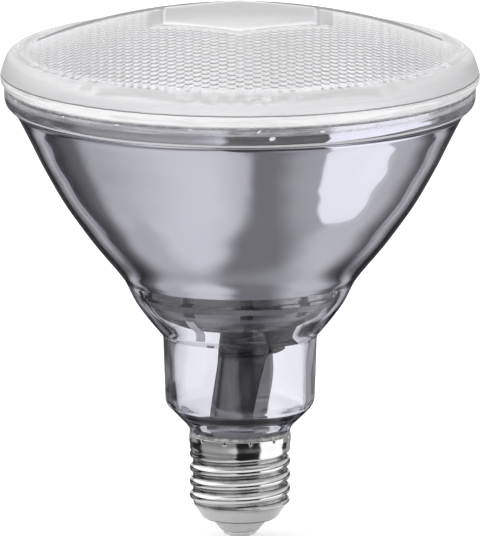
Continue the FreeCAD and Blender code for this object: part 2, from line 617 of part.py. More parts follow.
xw = (BX0 + BX1) / 2
live = tube([Vector(xw, 0, Z_STEM0), Vector(xw, 0, 18.6), Vector(0, 0, 14.4), Vector(0, 0, 1.2)], [2.0, 2.0], 0.45)
put("live_wire", live)
neutral = tube([Vector(xw, 3.0, Z_STEM0), Vector(xw, 3.0, 18.4), Vector(xw, 12.65, 18.0)], [1.6], 0.45)
neutral = neutral.cut(shell)
put("neutral_wire", solid_of(max(neutral.Solids, key=lambda q: q.Volume)))

# ---------------------------------------------------------------------------
for name, shape in OUT.items():
    shape.exportStep("parts/%s.step" % name)
print(len(OUT), "nodes")
bb = Part.Compound(list(OUT.values())).BoundBox
print("box %.2f %.2f %.2f  to %.2f %.2f %.2f" % (bb.XMin, bb.YMin, bb.ZMin, bb.XMax, bb.YMax, bb.ZMax))
for name, shape in OUT.items():
    print("%-22s %-9s solids %d vol %9.1f valid %s closed %s" % (name, shape.ShapeType, len(shape.Solids), shape.Volume, shape.isValid(),
          all(s.isClosed() for s in shape.Shells)))
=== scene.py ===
import math
import random

import bpy
import numpy as np
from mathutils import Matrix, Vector, noise
from mathutils.geometry import delaunay_2d_cdt


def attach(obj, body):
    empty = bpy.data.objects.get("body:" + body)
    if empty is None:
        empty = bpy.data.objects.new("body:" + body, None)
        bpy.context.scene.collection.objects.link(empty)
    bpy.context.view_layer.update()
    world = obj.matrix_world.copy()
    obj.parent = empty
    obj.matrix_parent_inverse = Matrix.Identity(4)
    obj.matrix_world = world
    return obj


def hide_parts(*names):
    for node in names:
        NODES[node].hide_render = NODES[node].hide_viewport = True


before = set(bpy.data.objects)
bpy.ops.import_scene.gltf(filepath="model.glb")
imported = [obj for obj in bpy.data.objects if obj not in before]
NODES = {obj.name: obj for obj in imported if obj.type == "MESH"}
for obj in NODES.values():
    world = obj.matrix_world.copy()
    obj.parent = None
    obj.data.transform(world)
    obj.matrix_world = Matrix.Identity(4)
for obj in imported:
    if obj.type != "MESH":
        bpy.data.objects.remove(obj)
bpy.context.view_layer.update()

MM = 0.001
Z_WIDE = 122.0
random.seed(8122)

# ---------------------------------------------------------------------------
# mesh helpers; every size in the code is in millimetres and goes to metres
# when a mesh is made
# ---------------------------------------------------------------------------


def smoothstep(a, b, x):
    u = min(max((x - a) / (b - a), 0.0), 1.0)
    return u * u * (3 - 2 * u)


def spline(pts, n):
    """n + 1 points along the natural cubic spline through pts, by chord length."""
    p = np.array(pts, float)
    k = len(p)
    t = np.concatenate([[0], np.cumsum(np.hypot(*np.diff(p, axis=0).T))])
    h = np.diff(t)
    a = np.zeros((k, k))
    b = np.zeros((k, 2))
    a[0, 0] = a[-1, -1] = 1
    for i in range(1, k - 1):
        a[i, i - 1], a[i, i], a[i, i + 1] = h[i - 1], 2 * (h[i - 1] + h[i]), h[i]
        b[i] = 6 * ((p[i + 1] - p[i]) / h[i] - (p[i] - p[i - 1]) / h[i - 1])
    m = np.linalg.solve(a, b)
    out = []
    for s in np.linspace(0, t[-1], n + 1):
        i = min(max(int(np.searchsorted(t, s, side="right")) - 1, 0), k - 2)
        u, v = (t[i + 1] - s), (s - t[i])
        q = (m[i] * u ** 3 + m[i + 1] * v ** 3) / (6 * h[i]) + (p[i] / h[i] - m[i] * h[i] / 6) * u + (p[i + 1] / h[i] - m[i + 1] * h[i] / 6) * v
        out.append((float(q[0]), float(q[1])))
    return out


def run(a, b, n):
    return [(a[0] + (b[0] - a[0]) * i / n, a[1] + (b[1] - a[1]) * i / n) for i in range(n + 1)]


def join_runs(*runs):
    out = []
    for r in runs:
        for q in r:
            if not out or math.hypot(q[0] - out[-1][0], q[1] - out[-1][1]) > 1e-6:
                out.append(q)
    return out


def up(pts):
    return [(r, z + Z_WIDE) for r, z in pts]


def volume(verts, faces):
    v = np.array(verts)
    tot = 0.0
    for f in faces:
        a = v[f[0]]
        for i in range(1, len(f) - 1):
            tot += float(np.dot(a, np.cross(v[f[i]], v[f[i + 1]])))
    return tot / 6


def make(name, verts, faces, sharp=(), flip=False, smooth=True):
    """Mesh object from millimetre vertices; sharp holds vertex pairs."""
    if flip:
        faces = [tuple(reversed(f)) for f in faces]
    me = bpy.data.meshes.new(name)
    me.from_pydata([(x * MM, y * MM, z * MM) for x, y, z in verts], [], faces)
    me.polygons.foreach_set("use_smooth", [smooth] * len(me.polygons))
    if sharp:
        want = {tuple(sorted(e)) for e in sharp}
        marks = [tuple(sorted(e.vertices)) in want for e in me.edges]
        me.attributes.new("sharp_edge", "BOOLEAN", "EDGE").data.foreach_set("value", marks)
    me.update()
    ob = bpy.data.objects.new(name, me)
    bpy.context.scene.collection.objects.link(ob)
    return ob


def lathe_data(prof, segs, closed=True, cx=0.0, wave=None, angles=None, crease=28.0):
    """Verts, faces and sharp edges of a profile turned round the axis."""
    ang = angles or [2 * math.pi * i / segs for i in range(segs)]
    segs = len(ang)
    cs = [(math.cos(a), math.sin(a)) for a in ang]
    verts, rows = [], []
    for r, z in prof:
        if r < 1e-6:
            rows.append([len(verts)] * segs)
            verts.append((cx, 0.0, z))
            continue
        row = []
        for (c, s), a in zip(cs, ang):
            rr, zz = (r, z) if wave is None else wave(r, z, c, s)
            row.append(len(verts))
            verts.append((cx + rr * c, rr * s, zz))
        rows.append(row)
    n = len(rows)
    faces, sharp = [], []
    for j in range(n if closed else n - 1):
        a, b = rows[j], rows[(j + 1) % n]
        for i in range(segs):
            k = (i + 1) % segs
            f = [a[i], a[k], b[k], b[i]]
            f = [q for w, q in enumerate(f) if q != f[w - 1]]
            if len(f) > 2:
                faces.append(tuple(f))
    for j in range(n):
        if not closed and j in (0, n - 1):
            continue
        p, q, t = prof[j - 1], prof[j], prof[(j + 1) % n]
        d = math.degrees(math.atan2(t[1] - q[1], t[0] - q[0]) - math.atan2(q[1] - p[1], q[0] - p[0]))
        d = abs((d + 180) % 360 - 180)
        if d > crease and q[0] > 1e-6:
            sharp += [(rows[j][i], rows[j][(i + 1) % segs]) for i in range(segs)]
    return verts, faces, sharp, rows


def lathe(name, prof, segs=192, **kw):
    closed = kw.pop("closed", True)
    verts, faces, sharp, _ = lathe_data(prof, segs, closed, **kw)
    return make(name, verts, faces, sharp, flip=volume(verts, faces) < 0)


def offset(pts, t):
    """Profile points moved along their normal; down the wall, inwards is positive."""
    out = []
    for i, p in enumerate(pts):
        a, b = pts[max(i - 1, 0)], pts[min(i + 1, len(pts) - 1)]
        dr, dz = b[0] - a[0], b[1] - a[1]
        n = math.hypot(dr, dz)
        out.append((p[0] + dz / n * t, p[1] - dr / n * t))
    return out


# ---------------------------------------------------------------------------
# node helpers
# ---------------------------------------------------------------------------
class Tree:
    def __init__(self, tree):
        self.t = tree
        self.n = tree.nodes
        self.l = tree.links

    def put(self, sock, val):
        if isinstance(val, bpy.types.NodeSocket):
            self.l.new(val, sock)
        else:
            sock.default_value = val

    def node(self, kind, **props):
        nd = self.n.new(kind)
        for k, v in props.items():
            setattr(nd, k, v)
        return nd

    def m(self, op, a, b=0.0, c=0.0, clamp=False):
        nd = self.node("ShaderNodeMath", operation=op, use_clamp=clamp)
        self.put(nd.inputs[0], a)
        self.put(nd.inputs[1], b)
        if op in ("MULTIPLY_ADD", "WRAP", "SMOOTH_MIN", "SMOOTH_MAX"):
            self.put(nd.inputs[2], c)
        return nd.outputs[0]

    def ss(self, x, a, b, lo=0.0, hi=1.0, kind="SMOOTHSTEP"):
        nd = self.node("ShaderNodeMapRange", interpolation_type=kind)
        self.put(nd.inputs["Value"], x)
        for k, v in (("From Min", a), ("From Max", b), ("To Min", lo), ("To Max", hi)):
            nd.inputs[k].default_value = v
        return nd.outputs[0]

    def lin(self, *terms):
        """Sum of socket times factor pairs, and plain numbers."""
        acc, const = None, 0.0
        for t in terms:
            if isinstance(t, (int, float)):
                const += t
                continue
            s, k = t
            acc = self.m("MULTIPLY", s, k) if acc is None else self.m("MULTIPLY_ADD", s, k, acc)
        return self.m("ADD", acc, const) if const else acc

    def lerp(self, a, b, f):
        nd = self.node("ShaderNodeMix", data_type="FLOAT")
        self.put(nd.inputs[0], f)
        self.put(nd.inputs[2], a)
        self.put(nd.inputs[3], b)
        return nd.outputs[0]

    def mix(self, a, b, f, blend="MIX"):
        nd = self.node("ShaderNodeMix", data_type="RGBA", blend_type=blend)
        self.put(nd.inputs[0], f)
        self.put(nd.inputs[6], a)
        self.put(nd.inputs[7], b)
        return nd.outputs[2]

    def noise(self, vec, scale, detail=3.0, rough=0.5, distort=0.0):
        nd = self.node("ShaderNodeTexNoise")
        self.put(nd.inputs["Vector"], vec)
        nd.inputs["Scale"].default_value = scale
        nd.inputs["Detail"].default_value = detail
        nd.inputs["Roughness"].default_value = rough
        nd.inputs["Distortion"].default_value = distort
        return nd.outputs[0]

    def scaled(self, vec, sx, sy, sz):
        nd = self.node("ShaderNodeMapping")
        self.put(nd.inputs["Vector"], vec)
        nd.inputs["Scale"].default_value = (sx, sy, sz)
        return nd.outputs[0]

    def ramp(self, fac, stops):
        nd = self.node("ShaderNodeValToRGB")
        self.put(nd.inputs[0], fac)
        e = nd.color_ramp.elements
        while len(e) < len(stops):
            e.new(0.5)
        for q, (pos, col) in zip(e, stops):
            q.position = pos
            q.color = (*col, 1.0)
        return nd.outputs[0]

    def bump(self, height, strength, dist):
        nd = self.node("ShaderNodeBump")
        nd.inputs["Strength"].default_value = strength
        nd.inputs["Distance"].default_value = dist
        self.put(nd.inputs["Height"], height)
        return nd.outputs[0]


def material(name):
    mt = bpy.data.materials.new(name)
    mt.use_nodes = True
    t = Tree(mt.node_tree)
    bs = t.n["Principled BSDF"]
    pos = t.node("ShaderNodeTexCoord").outputs["Object"]
    sep = t.node("ShaderNodeSeparateXYZ")
    t.l.new(pos, sep.inputs[0])
    return mt, t, bs, pos, sep.outputs


def dielectric(name, c1, c2, scale, rough=(0.35, 0.55), bump=0.2, fine=4.0, spec=0.5, coat=0.0, height=0.00005):
    """Moulded, painted or cast stuff: two tones in a cloud, speckle and a skin."""
    mt, t, bs, pos, xyz = material(name)
    cloud = t.noise(pos, scale, 4.0, 0.6)
    grain = t.noise(pos, scale * fine, 3.0, 0.6)
    col = t.ramp(cloud, [(0.32, c1), (0.68, c2)])
    col = t.mix(col, t.ramp(grain, [(0.3, (0.8, 0.8, 0.8)), (0.62, (1.0, 1.0, 1.0))]), 0.55, "MULTIPLY")
    t.l.new(col, bs.inputs["Base Color"])
    t.l.new(t.ss(grain, 0.3, 0.7, *rough), bs.inputs["Roughness"])
    t.l.new(t.bump(t.lin((grain, 0.6), (cloud, 0.4)), bump, height), bs.inputs["Normal"])
    bs.inputs["Specular IOR Level"].default_value = spec
    bs.inputs["Coat Weight"].default_value = coat
    return mt


def metal(name, c1, c2, scale=250.0, rough=(0.15, 0.3), rings=False, bump=0.1, height=0.00003, aniso=0.0):
    mt, t, bs, pos, xyz = material(name)
    cloud = t.noise(pos, scale, 4.0, 0.6)
    if rings:
        r = t.m("SQRT", t.lin((t.m("MULTIPLY", xyz[0], xyz[0]), 1.0), (t.m("MULTIPLY", xyz[1], xyz[1]), 1.0)))
        cmb = t.node("ShaderNodeCombineXYZ")
        t.l.new(r, cmb.inputs[0])
        t.l.new(t.m("MULTIPLY", xyz[2], 1.0), cmb.inputs[1])
        fine = t.noise(cmb.outputs[0], scale * 12, 3.0, 0.7)
    else:
        fine = t.noise(t.scaled(pos, 1.0, 1.0, 6.0), scale * 3, 3.0, 0.65)
    col = t.ramp(cloud, [(0.3, c1), (0.7, c2)])
    t.l.new(col, bs.inputs["Base Color"])
    bs.inputs["Metallic"].default_value = 1.0
    t.l.new(t.ss(t.lin((fine, 0.6), (cloud, 0.4)), 0.32, 0.68, *rough), bs.inputs["Roughness"])
    t.l.new(t.bump(fine, bump, height), bs.inputs["Normal"])
    bs.inputs["Anisotropic"].default_value = aniso
    return mt


def glass(name, tint, wave_scale, wave, ior=1.5, haze=0.03, height=0.0001, absorb=None, frost=None, lines=None, milk=None, tone=None):
    """Pressed glass: a slow ripple of the skin, and faint dust in patches.

    frost and lines, given the tree, the radius and the height, return a
    roughness and a height of fine turned lines."""
    mt, t, bs, pos, xyz = material(name)
    rad = t.m("SQRT", t.lin((t.m("MULTIPLY", xyz[0], xyz[0]), 1.0), (t.m("MULTIPLY", xyz[1], xyz[1]), 1.0)))
    if absorb:
        vol = t.node("ShaderNodeVolumeAbsorption")
        vol.inputs["Color"].default_value = (*absorb[0], 1.0)
        vol.inputs["Density"].default_value = absorb[1]
        t.l.new(vol.outputs[0], t.n["Material Output"].inputs["Volume"])
    slow = t.noise(pos, wave_scale, 2.0, 0.45)
    dust = t.noise(pos, 900.0, 3.0, 0.7)
    patch = t.noise(pos, 60.0, 2.0, 0.5)
    bs.inputs["Base Color"].default_value = (*tint, 1.0)
    # tone, when given, paints shade: its mask darkens the glass colour toward dark grey
    if tone:
        t.l.new(t.mix((*tint, 1.0), (0.10, 0.10, 0.105, 1.0), tone(t, pos, xyz, rad)), bs.inputs["Base Color"])
    bs.inputs["Transmission Weight"].default_value = 1.0
    if milk:
        t.l.new(t.m("SUBTRACT", 1.0, milk(t, pos, xyz, rad)), bs.inputs["Transmission Weight"])
    bs.inputs["IOR"].default_value = ior
    spots = t.m("MULTIPLY", t.ss(dust, 0.58, 0.75), t.ss(patch, 0.45, 0.7))
    rough = t.m("MULTIPLY", spots, haze)
    if frost:
        rough = t.m("MAXIMUM", rough, frost(t, pos, xyz, rad))
    t.l.new(rough, bs.inputs["Roughness"])
    skin = t.node("ShaderNodeBump")
    skin.inputs["Strength"].default_value = wave
    skin.inputs["Distance"].default_value = height
    t.l.new(slow, skin.inputs["Height"])
    last = skin
    if lines:
        last = t.node("ShaderNodeBump")
        last.inputs["Strength"].default_value = 0.5
        last.inputs["Distance"].default_value = 0.00006
        t.l.new(lines(t, pos, xyz, rad), last.inputs["Height"])
        t.l.new(skin.outputs[0], last.inputs["Normal"])
    t.l.new(last.outputs[0], bs.inputs["Normal"])
    return mt


def wear(ob, mt):
    me = ob.data
    if not me.materials:
        me.materials.append(mt)
    for sl in ob.material_slots:
        sl.material = mt


def piece(ob, mt, slot, *nodes):
    wear(ob, mt)
    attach(ob, "root")
    if nodes:
        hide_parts(*nodes)
    return ob


# ---------------------------------------------------------------------------
# profiles, repeated from the CAD source, as radius and height over the widest
# plane
# ---------------------------------------------------------------------------
FLANGE_SIDE = [(61.06, -2.4), (60.95, -5.4)]
FLANGE_LIP = [(60.95, -5.4), (60.8, -6.0), (60.4, -6.75), (59.7, -7.45), (58.9, -8.1), (58.0, -9.2)]
CONE_OUT = [(58.0, -9.2), (57.1, -10.75), (56.0, -12.9), (53.9, -17.1), (51.8, -21.4), (49.55, -25.6),
            (47.2, -29.8), (44.65, -33.9), (41.7, -38.1), (38.55, -42.4), (35.15, -46.6), (31.5, -51.0), (29.8, -53.3)]
SHOULDER_OUT = [(29.8, -53.3), (28.9, -55.15), (27.9, -57.2), (26.7, -59.3), (25.3, -61.3), (23.7, -63.4),
                (22.0, -65.5), (20.1, -67.8)]
NECK_OUT = [(20.1, -67.8), (19.95, -68.9)]
NECK_SIDE = [(19.95, -68.9), (19.4, -84.6)]
TAPER_OUT = [(19.4, -84.6), (19.1, -85.7), (18.1, -87.0), (16.6, -88.6), (15.0, -90.2), (14.1, -91.1),
             (13.4, -92.1), (13.0, -93.1), (12.8, -93.7)]
cone_in = [q for q in offset(CONE_OUT, 3.2) if q[1] > -51.0]
cone_in[0] = (55.15, -7.75)
CONE_IN = cone_in + [(26.6, -52.5)]
SHOULDER_IN = [(26.6, -52.5), (25.75, -54.4), (24.9, -56.3), (23.8, -58.2), (22.5, -60.1),
               (21.0, -62.0), (19.5, -63.8), (18.2, -65.5), (17.5, -66.9), (17.2, -68.6)]
NECK_IN = [(17.2, -68.6), (16.75, -84.4)]
TAPER_IN = [(16.75, -84.4), (16.62, -85.3), (16.15, -86.1), (15.4, -86.6), (14.4, -86.9), (13.2, -87.3), (12.0, -88.0),
            (10.9, -89.2), (9.9, -91.2), (9.25, -93.8), (9.0, -96.8)]
I_TOP, I_COAT = (55.7, -2.4), (55.65, -3.0)
RIM_OUT = [(55.6, 7.0), (56.8, 7.15), (57.9, 7.05), (58.8, 6.75), (59.5, 6.35), (60.3, 5.6), (60.85, 4.55),
           (61.25, 3.4), (61.75, 1.7), (61.97, 0.8), (62.0, 0.0), (61.85, -0.8), (61.35, -1.55)]

# ---------------------------------------------------------------------------
# glass body
# ---------------------------------------------------------------------------
out_run = join_runs(run(I_TOP, FLANGE_SIDE[0], 6), run(*FLANGE_SIDE, 4), spline(FLANGE_LIP, 14), spline(CONE_OUT, 46),
                    spline(SHOULDER_OUT, 22), run(*NECK_OUT, 2), run(*NECK_SIDE, 22), spline(TAPER_OUT, 24))
stub = [(11.9, -93.9), (11.5, -94.6), (11.5, -101.2), (10.7, -102.0), (9.0, -102.0)]
in_run = join_runs([TAPER_IN[-1]], list(reversed(spline(TAPER_IN, 24))), list(reversed(run(*NECK_IN, 22))),
                   list(reversed(spline(SHOULDER_IN, 22))), list(reversed(spline(CONE_IN, 46))), [I_COAT])
N_OUT = len(out_run)


def glass_wave(r, z, c, s):
    """The blown neck isn't true: its walls wander a little, the inside more."""
    zz = z - Z_WIDE
    w = smoothstep(-53.5, -60.0, zz) * (1 - smoothstep(-91.5, -93.5, zz))
    if w <= 0:
        return r, z
    inner = r < 18.4 if zz < -68.0 else r < 29.0 - (-53.3 - zz) * 0.62
    amp = (0.13 if inner else 0.06) * w
    q = Vector((c * r * 0.12, s * r * 0.12, zz * 0.10 + (7.3 if inner else 0.0)))
    return r + amp * noise.noise(q) * 2.0, z


def flange_milk(t, pos, xyz, rad):
    """The flange catches the light in turned streaks: more near the joint, a
    thin line along the lip."""
    cmb = t.node("ShaderNodeCombineXYZ")
    t.l.new(xyz[2], cmb.inputs[0])
    t.l.new(t.m("MULTIPLY", xyz[0], 0.02), cmb.inputs[1])
    t.l.new(t.m("MULTIPLY", xyz[1], 0.02), cmb.inputs[2])
    streak = t.ss(t.noise(cmb.outputs[0], 1500.0, 3.0, 0.7), 0.38, 0.62, 0.45, 1.0)
    upper = t.m("MULTIPLY", t.ss(xyz[2], 0.1176, 0.1181), t.m("MULTIPLY", streak, t.ss(t.noise(t.scaled(pos, 1.0, 1.0, 4.0), 180.0, 4.0, 0.7), 0.3, 0.7, 0.28, 0.50)))
    lower = t.m("MULTIPLY", t.m("MULTIPLY", t.ss(xyz[2], 0.1156, 0.1159), streak), 0.12)
    line = t.m("MULTIPLY", t.m("MULTIPLY", t.ss(xyz[2], 0.1147, 0.1150), t.ss(xyz[2], 0.1157, 0.1154)), 0.50)
    return t.m("MAXIMUM", upper, t.m("MAXIMUM", lower, line))


body = lathe("glass_reflector_body", up(join_runs(out_run, stub, in_run)), 256, wave=glass_wave, crease=24.0)
body_glass = glass("pressed_body_glass", (1.0, 1.0, 1.0), 70.0, 0.25, haze=0.05, height=0.0002, absorb=((0.60, 0.60, 0.72), 100.0),
                   frost=lambda t, pos, xyz, rad: t.m("MULTIPLY", t.ss(xyz[2], 0.1174, 0.1180), t.ss(t.noise(pos, 260.0, 3.0, 0.6), 0.3, 0.7, 0.14, 0.25)),
                   milk=flange_milk)
piece(body, body_glass, "body_glass", "reflector_glass")
body.visible_shadow = False

# mirror layer: its outer face is bedded a little way into the glass
co = spline(CONE_IN, 60)
c_out = offset(co, -0.02)
c_in = offset(co, 0.15)
c_out[0], c_in[0] = (55.17, -7.75), (55.0, -7.7)
coat_prof = join_runs([(55.5, -3.0), (55.67, -3.0)], c_out, [(26.62, -52.52), (26.45, -52.45)], list(reversed(c_in)))
coat = lathe("mirror_layer", up(coat_prof), 256)
mt, t, bs, pos, xyz = material("vapour_aluminium")
cloud = t.noise(pos, 45.0, 3.0, 0.5)
fine = t.noise(pos, 700.0, 2.0, 0.6)
t.l.new(t.ramp(cloud, [(0.3, (0.88, 0.88, 0.895)), (0.7, (0.94, 0.94, 0.955))]), bs.inputs["Base Color"])
bs.inputs["Metallic"].default_value = 1.0
t.l.new(t.ss(t.lin((cloud, 0.5), (fine, 0.5)), 0.35, 0.65, 0.02, 0.055), bs.inputs["Roughness"])
t.l.new(t.bump(cloud, 0.08, 0.0002), bs.inputs["Normal"])
mirror = mt
piece(coat, mirror, "mirror_film", "mirror_coating")

# ---------------------------------------------------------------------------
# lens: plain hexagon, smooth dome, rounded rim; pressed lenslets inside
# ---------------------------------------------------------------------------
DOME_C = Z_WIDE + 17.4 - 150.0
PAD_H, PAD_Z = 19.0, Z_WIDE + 16.4
SEG = 288


def dome(r, R=150.0):
    return DOME_C + math.sqrt(R * R - r * r)


PAD_WIDE, PAD_DEEP = 1.04, 0.965


def hex_r(a, h):
    """Distance to a hexagon of apothem h, corners on the Y axis, at angle a."""
    x, y = math.cos(a) / PAD_WIDE, math.sin(a) / PAD_DEEP
    k = (math.degrees(math.atan2(y, x)) - 90.0) % 60.0 - 30.0
    return h / math.cos(math.radians(k)) / math.hypot(x, y)


angles = [math.atan2(PAD_DEEP * math.sin(2 * math.pi * i / SEG), PAD_WIDE * math.cos(2 * math.pi * i / SEG)) % (2 * math.pi) for i in range(SEG)]
verts, faces, sharp, rings = [(0.0, 0.0, PAD_Z)], [], [], []


def ring(rad, z, edge=False):
    """rad and z are functions of the angle."""
    row = []
    for a in angles:
        r = rad(a)
        row.append(len(verts))
        verts.append((r * math.cos(a), r * math.sin(a), z(r, a)))
    if rings:
        p = rings[-1]
        for i in range(SEG):
            k = (i + 1) % SEG
            faces.append((p[i], row[i], row[k], p[k]))
    else:
        for i in range(SEG):
            faces.append((0, row[i], row[(i + 1) % SEG]))
    if edge:
        sharp.extend((row[i], row[(i + 1) % SEG]) for i in range(SEG))
    rings.append(row)


for h in (5.0, 10.0, 15.0):
    ring(lambda a, h=h: hex_r(a, h), lambda r, a: PAD_Z)
ring(lambda a: hex_r(a, PAD_H - 0.62), lambda r, a: PAD_Z)
for f_, d_ in ((0.46, 0.06), (0.30, 0.3), (0.14, 0.7), (-0.02, 0.95), (-0.16, 1.0)):
    ring(lambda a, f_=f_: hex_r(a, PAD_H - f_), lambda r, a, d_=d_: PAD_Z + (dome(r) - PAD_Z) * d_)
for i in range(1, 27):
    u = i / 26
    ring(lambda a, u=u: (1 - u) * (hex_r(a, PAD_H + 0.35) * (1 - u) + 22.0 * u) + 54.6 * u, lambda r, a: dome(r))


def turned(r, z, k):
    """Fine turned ridges on the rim's lower side."""
    if not 0.4 < z < 5.2:
        return r
    e = smoothstep(0.4, 1.2, z) * (1 - smoothstep(4.2, 5.2, z))
    return r - e * 0.03 * (1 - math.cos(2 * math.pi * k)) / 2


rim_pts = spline([(54.6, dome(54.6) - Z_WIDE)] + RIM_OUT, 66)[1:]
for k_, (r_, z_) in enumerate(rim_pts):
    r_ = turned(r_, z_, k_ / 5.0)
    ring(lambda a, r_=r_: r_, lambda r, a, z_=z_: z_ + Z_WIDE)
rings_sharp = rings[-1]
sharp.extend((rings_sharp[i], rings_sharp[(i + 1) % SEG]) for i in range(SEG))
for r_, z_, e_ in ((61.0, -1.8, True), (59.1, -1.8, False), (57.2, -1.8, True)):
    ring(lambda a, r_=r_: r_, lambda r, a, z_=z_: z_ + Z_WIDE, e_)
R_FIELD = 55.7
inner_prof = spline([(57.2, -1.8), (56.95, 0.6), (56.4, 2.3), (55.4, 3.3), (54.0, dome(54.0, 146.8) - Z_WIDE), (52.0, dome(52.0, 146.8) - Z_WIDE)], 60)
ip = sorted(inner_prof)
ip_r, ip_z = [q[0] for q in ip], [q[1] for q in ip]


def inner_z(r):
    return dome(r, 146.8) if r <= 52.2 else float(np.interp(r, ip_r, ip_z)) + Z_WIDE


steps = [q for q in inner_prof[1:] if q[0] > R_FIELD + 0.1][::3]
for r_, z_ in steps:
    ring(lambda a, r_=r_: r_, lambda r, a, z_=z_: z_ + Z_WIDE)
ring(lambda a: R_FIELD, lambda r, a: inner_z(R_FIELD))
last = rings[-1]

PITCH, COL, FINE = 2.145, 2.16, 5        # along Y in a column, and between columns
LENSLET_R = 1.95
SAG = ((COL ** 2 - PITCH ** 2 / 4) ** 2 / (4 * COL ** 2) + PITCH ** 2 / 4) / (2 * LENSLET_R)


def nearest(x, y):
    i0 = x / COL
    best = None
    for i in (math.floor(i0), math.floor(i0) + 1):
        off = 0.5 * (i % 2)
        j = round(y / PITCH - off)
        cx, cy = i * COL, (j + off) * PITCH
        d = (x - cx) ** 2 + (y - cy) ** 2
        if best is None or d < best[0]:
            best = (d, cx, cy)
    return best


def bare(x, y):
    """The plain zone round the hexagon is wider at its two upright sides."""
    x, y = x / PAD_WIDE, y / PAD_DEEP
    return abs(x) < 22.3 and max(abs(0.5 * x + math.sqrt(3) / 2 * y), abs(0.5 * x - math.sqrt(3) / 2 * y)) < 19.2


def lenslet(x, y):
    d, cx, cy = nearest(x, y)
    if bare(cx, cy) or math.hypot(cx, cy) > 55.6 or math.hypot(x, y) > 55.6:
        return 0.0
    return max(SAG - d / (2 * LENSLET_R), 0.0)


fx, fy = COL / FINE, PITCH / FINE
pts2, n_edge = [], SEG
for a in angles:
    pts2.append(Vector((R_FIELD * math.cos(a), R_FIELD * math.sin(a))))
ni = int(R_FIELD / fx) + 2
nj = int(R_FIELD / fy) + 2
for i in range(-ni, ni + 1):
    for j in range(-nj, nj + 1):
        x = i * fx
        y = (j + 0.5 * (i % 2)) * fy
        if math.hypot(x, y) < R_FIELD - 0.35:
            pts2.append(Vector((x, y)))
edges2 = [(i, (i + 1) % SEG) for i in range(SEG)]
v2, _, f2, orig, _, _ = delaunay_2d_cdt(pts2, edges2, [], 1, 1e-5)
assert len(v2) == len(pts2), "the dimple grid has merged points"
where = {}
for k, o in enumerate(orig):
    if o[0] < SEG:
        where[k] = last[o[0]]
    else:
        x, y = v2[k]
        where[k] = len(verts)
        verts.append((x, y, inner_z(math.hypot(x, y)) - lenslet(x, y)))
for f in f2:
    faces.append(tuple(where[k] for k in reversed(f)))
lens = make("dimpled_lens", verts, faces, sharp, flip=False)
if volume(verts, faces) < 0:
    lens.data.flip_normals()


def hex_field(t, xyz):
    """Distance from the hexagon's middle, measured square to its sides."""
    h0 = t.m("ABSOLUTE", t.m("MULTIPLY", xyz[0], 1.0 / PAD_WIDE))
    h1 = t.m("ABSOLUTE", t.lin((xyz[0], 0.5 / PAD_WIDE), (xyz[1], 0.8660 / PAD_DEEP)))
    h2 = t.m("ABSOLUTE", t.lin((xyz[0], 0.5 / PAD_WIDE), (xyz[1], -0.8660 / PAD_DEEP)))
    return t.m("MAXIMUM", h0, t.m("MAXIMUM", h1, h2))


def lens_frost(t, pos, xyz, rad):
    """Satin rim outside the dimpled field, and a lightly satin hexagon."""
    h1 = t.m("ABSOLUTE", t.lin((xyz[0], 0.5 / PAD_WIDE), (xyz[1], 0.8660 / PAD_DEEP)))
    h2 = t.m("ABSOLUTE", t.lin((xyz[0], 0.5 / PAD_WIDE), (xyz[1], -0.8660 / PAD_DEEP)))
    mottle = t.noise(pos, 1200.0, 3.0, 0.6)
    rim = t.m("MAXIMUM", t.ss(rad, 0.0583, 0.0585), t.m("MULTIPLY", t.ss(rad, 0.0556, 0.0558), t.ss(xyz[2], 0.1268, 0.1262)))
    rim = t.m("MULTIPLY", rim, t.ss(mottle, 0.3, 0.7, 0.30, 0.38))
    rim = t.m("MULTIPLY", rim, t.ss(xyz[2], 0.1228, 0.1234, 0.6, 1.0))
    plain = t.m("MULTIPLY", t.ss(t.m("ABSOLUTE", xyz[0]), 0.0243, 0.0240), t.ss(t.m("MAXIMUM", h1, h2), 0.0191, 0.0189))
    plain = t.m("MULTIPLY", t.m("MULTIPLY", plain, t.ss(xyz[2], 0.1362, 0.1366)), t.ss(mottle, 0.3, 0.7, 0.29, 0.33))
    return t.m("MAXIMUM", rim, plain)


def lens_streaks(t, xyz, rad, scale):
    """Noise that runs round the rim in thin lines."""
    cmb = t.node("ShaderNodeCombineXYZ")
    t.l.new(t.lin((rad, 1.0), (xyz[2], -1.0)), cmb.inputs[0])
    t.l.new(t.m("MULTIPLY", xyz[0], 0.03), cmb.inputs[1])
    t.l.new(t.m("MULTIPLY", xyz[1], 0.03), cmb.inputs[2])
    return t.noise(cmb.outputs[0], scale, 3.0, 0.7)


def lens_milk(t, pos, xyz, rad):
    """The ground lower side of the rim catches the light, and so does the
    hexagon's bevel."""
    low = t.m("MULTIPLY", t.ss(rad, 0.0585, 0.0600), t.m("MULTIPLY", t.ss(xyz[2], 0.1236, 0.1232), t.ss(xyz[2], 0.1203, 0.1209)))
    low = t.m("MULTIPLY", low, t.ss(lens_streaks(t, xyz, rad, 900.0), 0.36, 0.58, 0.25, 1.0))
    h = hex_field(t, xyz)
    slant = t.m("MAXIMUM", t.m("ABSOLUTE", t.lin((xyz[0], 0.5 / PAD_WIDE), (xyz[1], 0.8660 / PAD_DEEP))),
                t.m("ABSOLUTE", t.lin((xyz[0], 0.5 / PAD_WIDE), (xyz[1], -0.8660 / PAD_DEEP))))
    band = t.m("MAXIMUM", t.m("MULTIPLY", t.ss(h, 0.01828, 0.01850), 0.45), t.ss(slant, 0.01740, 0.01770))
    bevel = t.m("MULTIPLY", t.m("MULTIPLY", band, t.ss(h, 0.01925, 0.01908)), t.ss(xyz[2], 0.1366, 0.1368))
    soft = t.m("ADD", t.m("MULTIPLY_ADD", t.ss(rad, 0.0572, 0.0588), 0.28, 0.10), t.m("MULTIPLY", low, 0.60))
    return t.m("MAXIMUM", soft, t.m("MULTIPLY", bevel, 0.90))


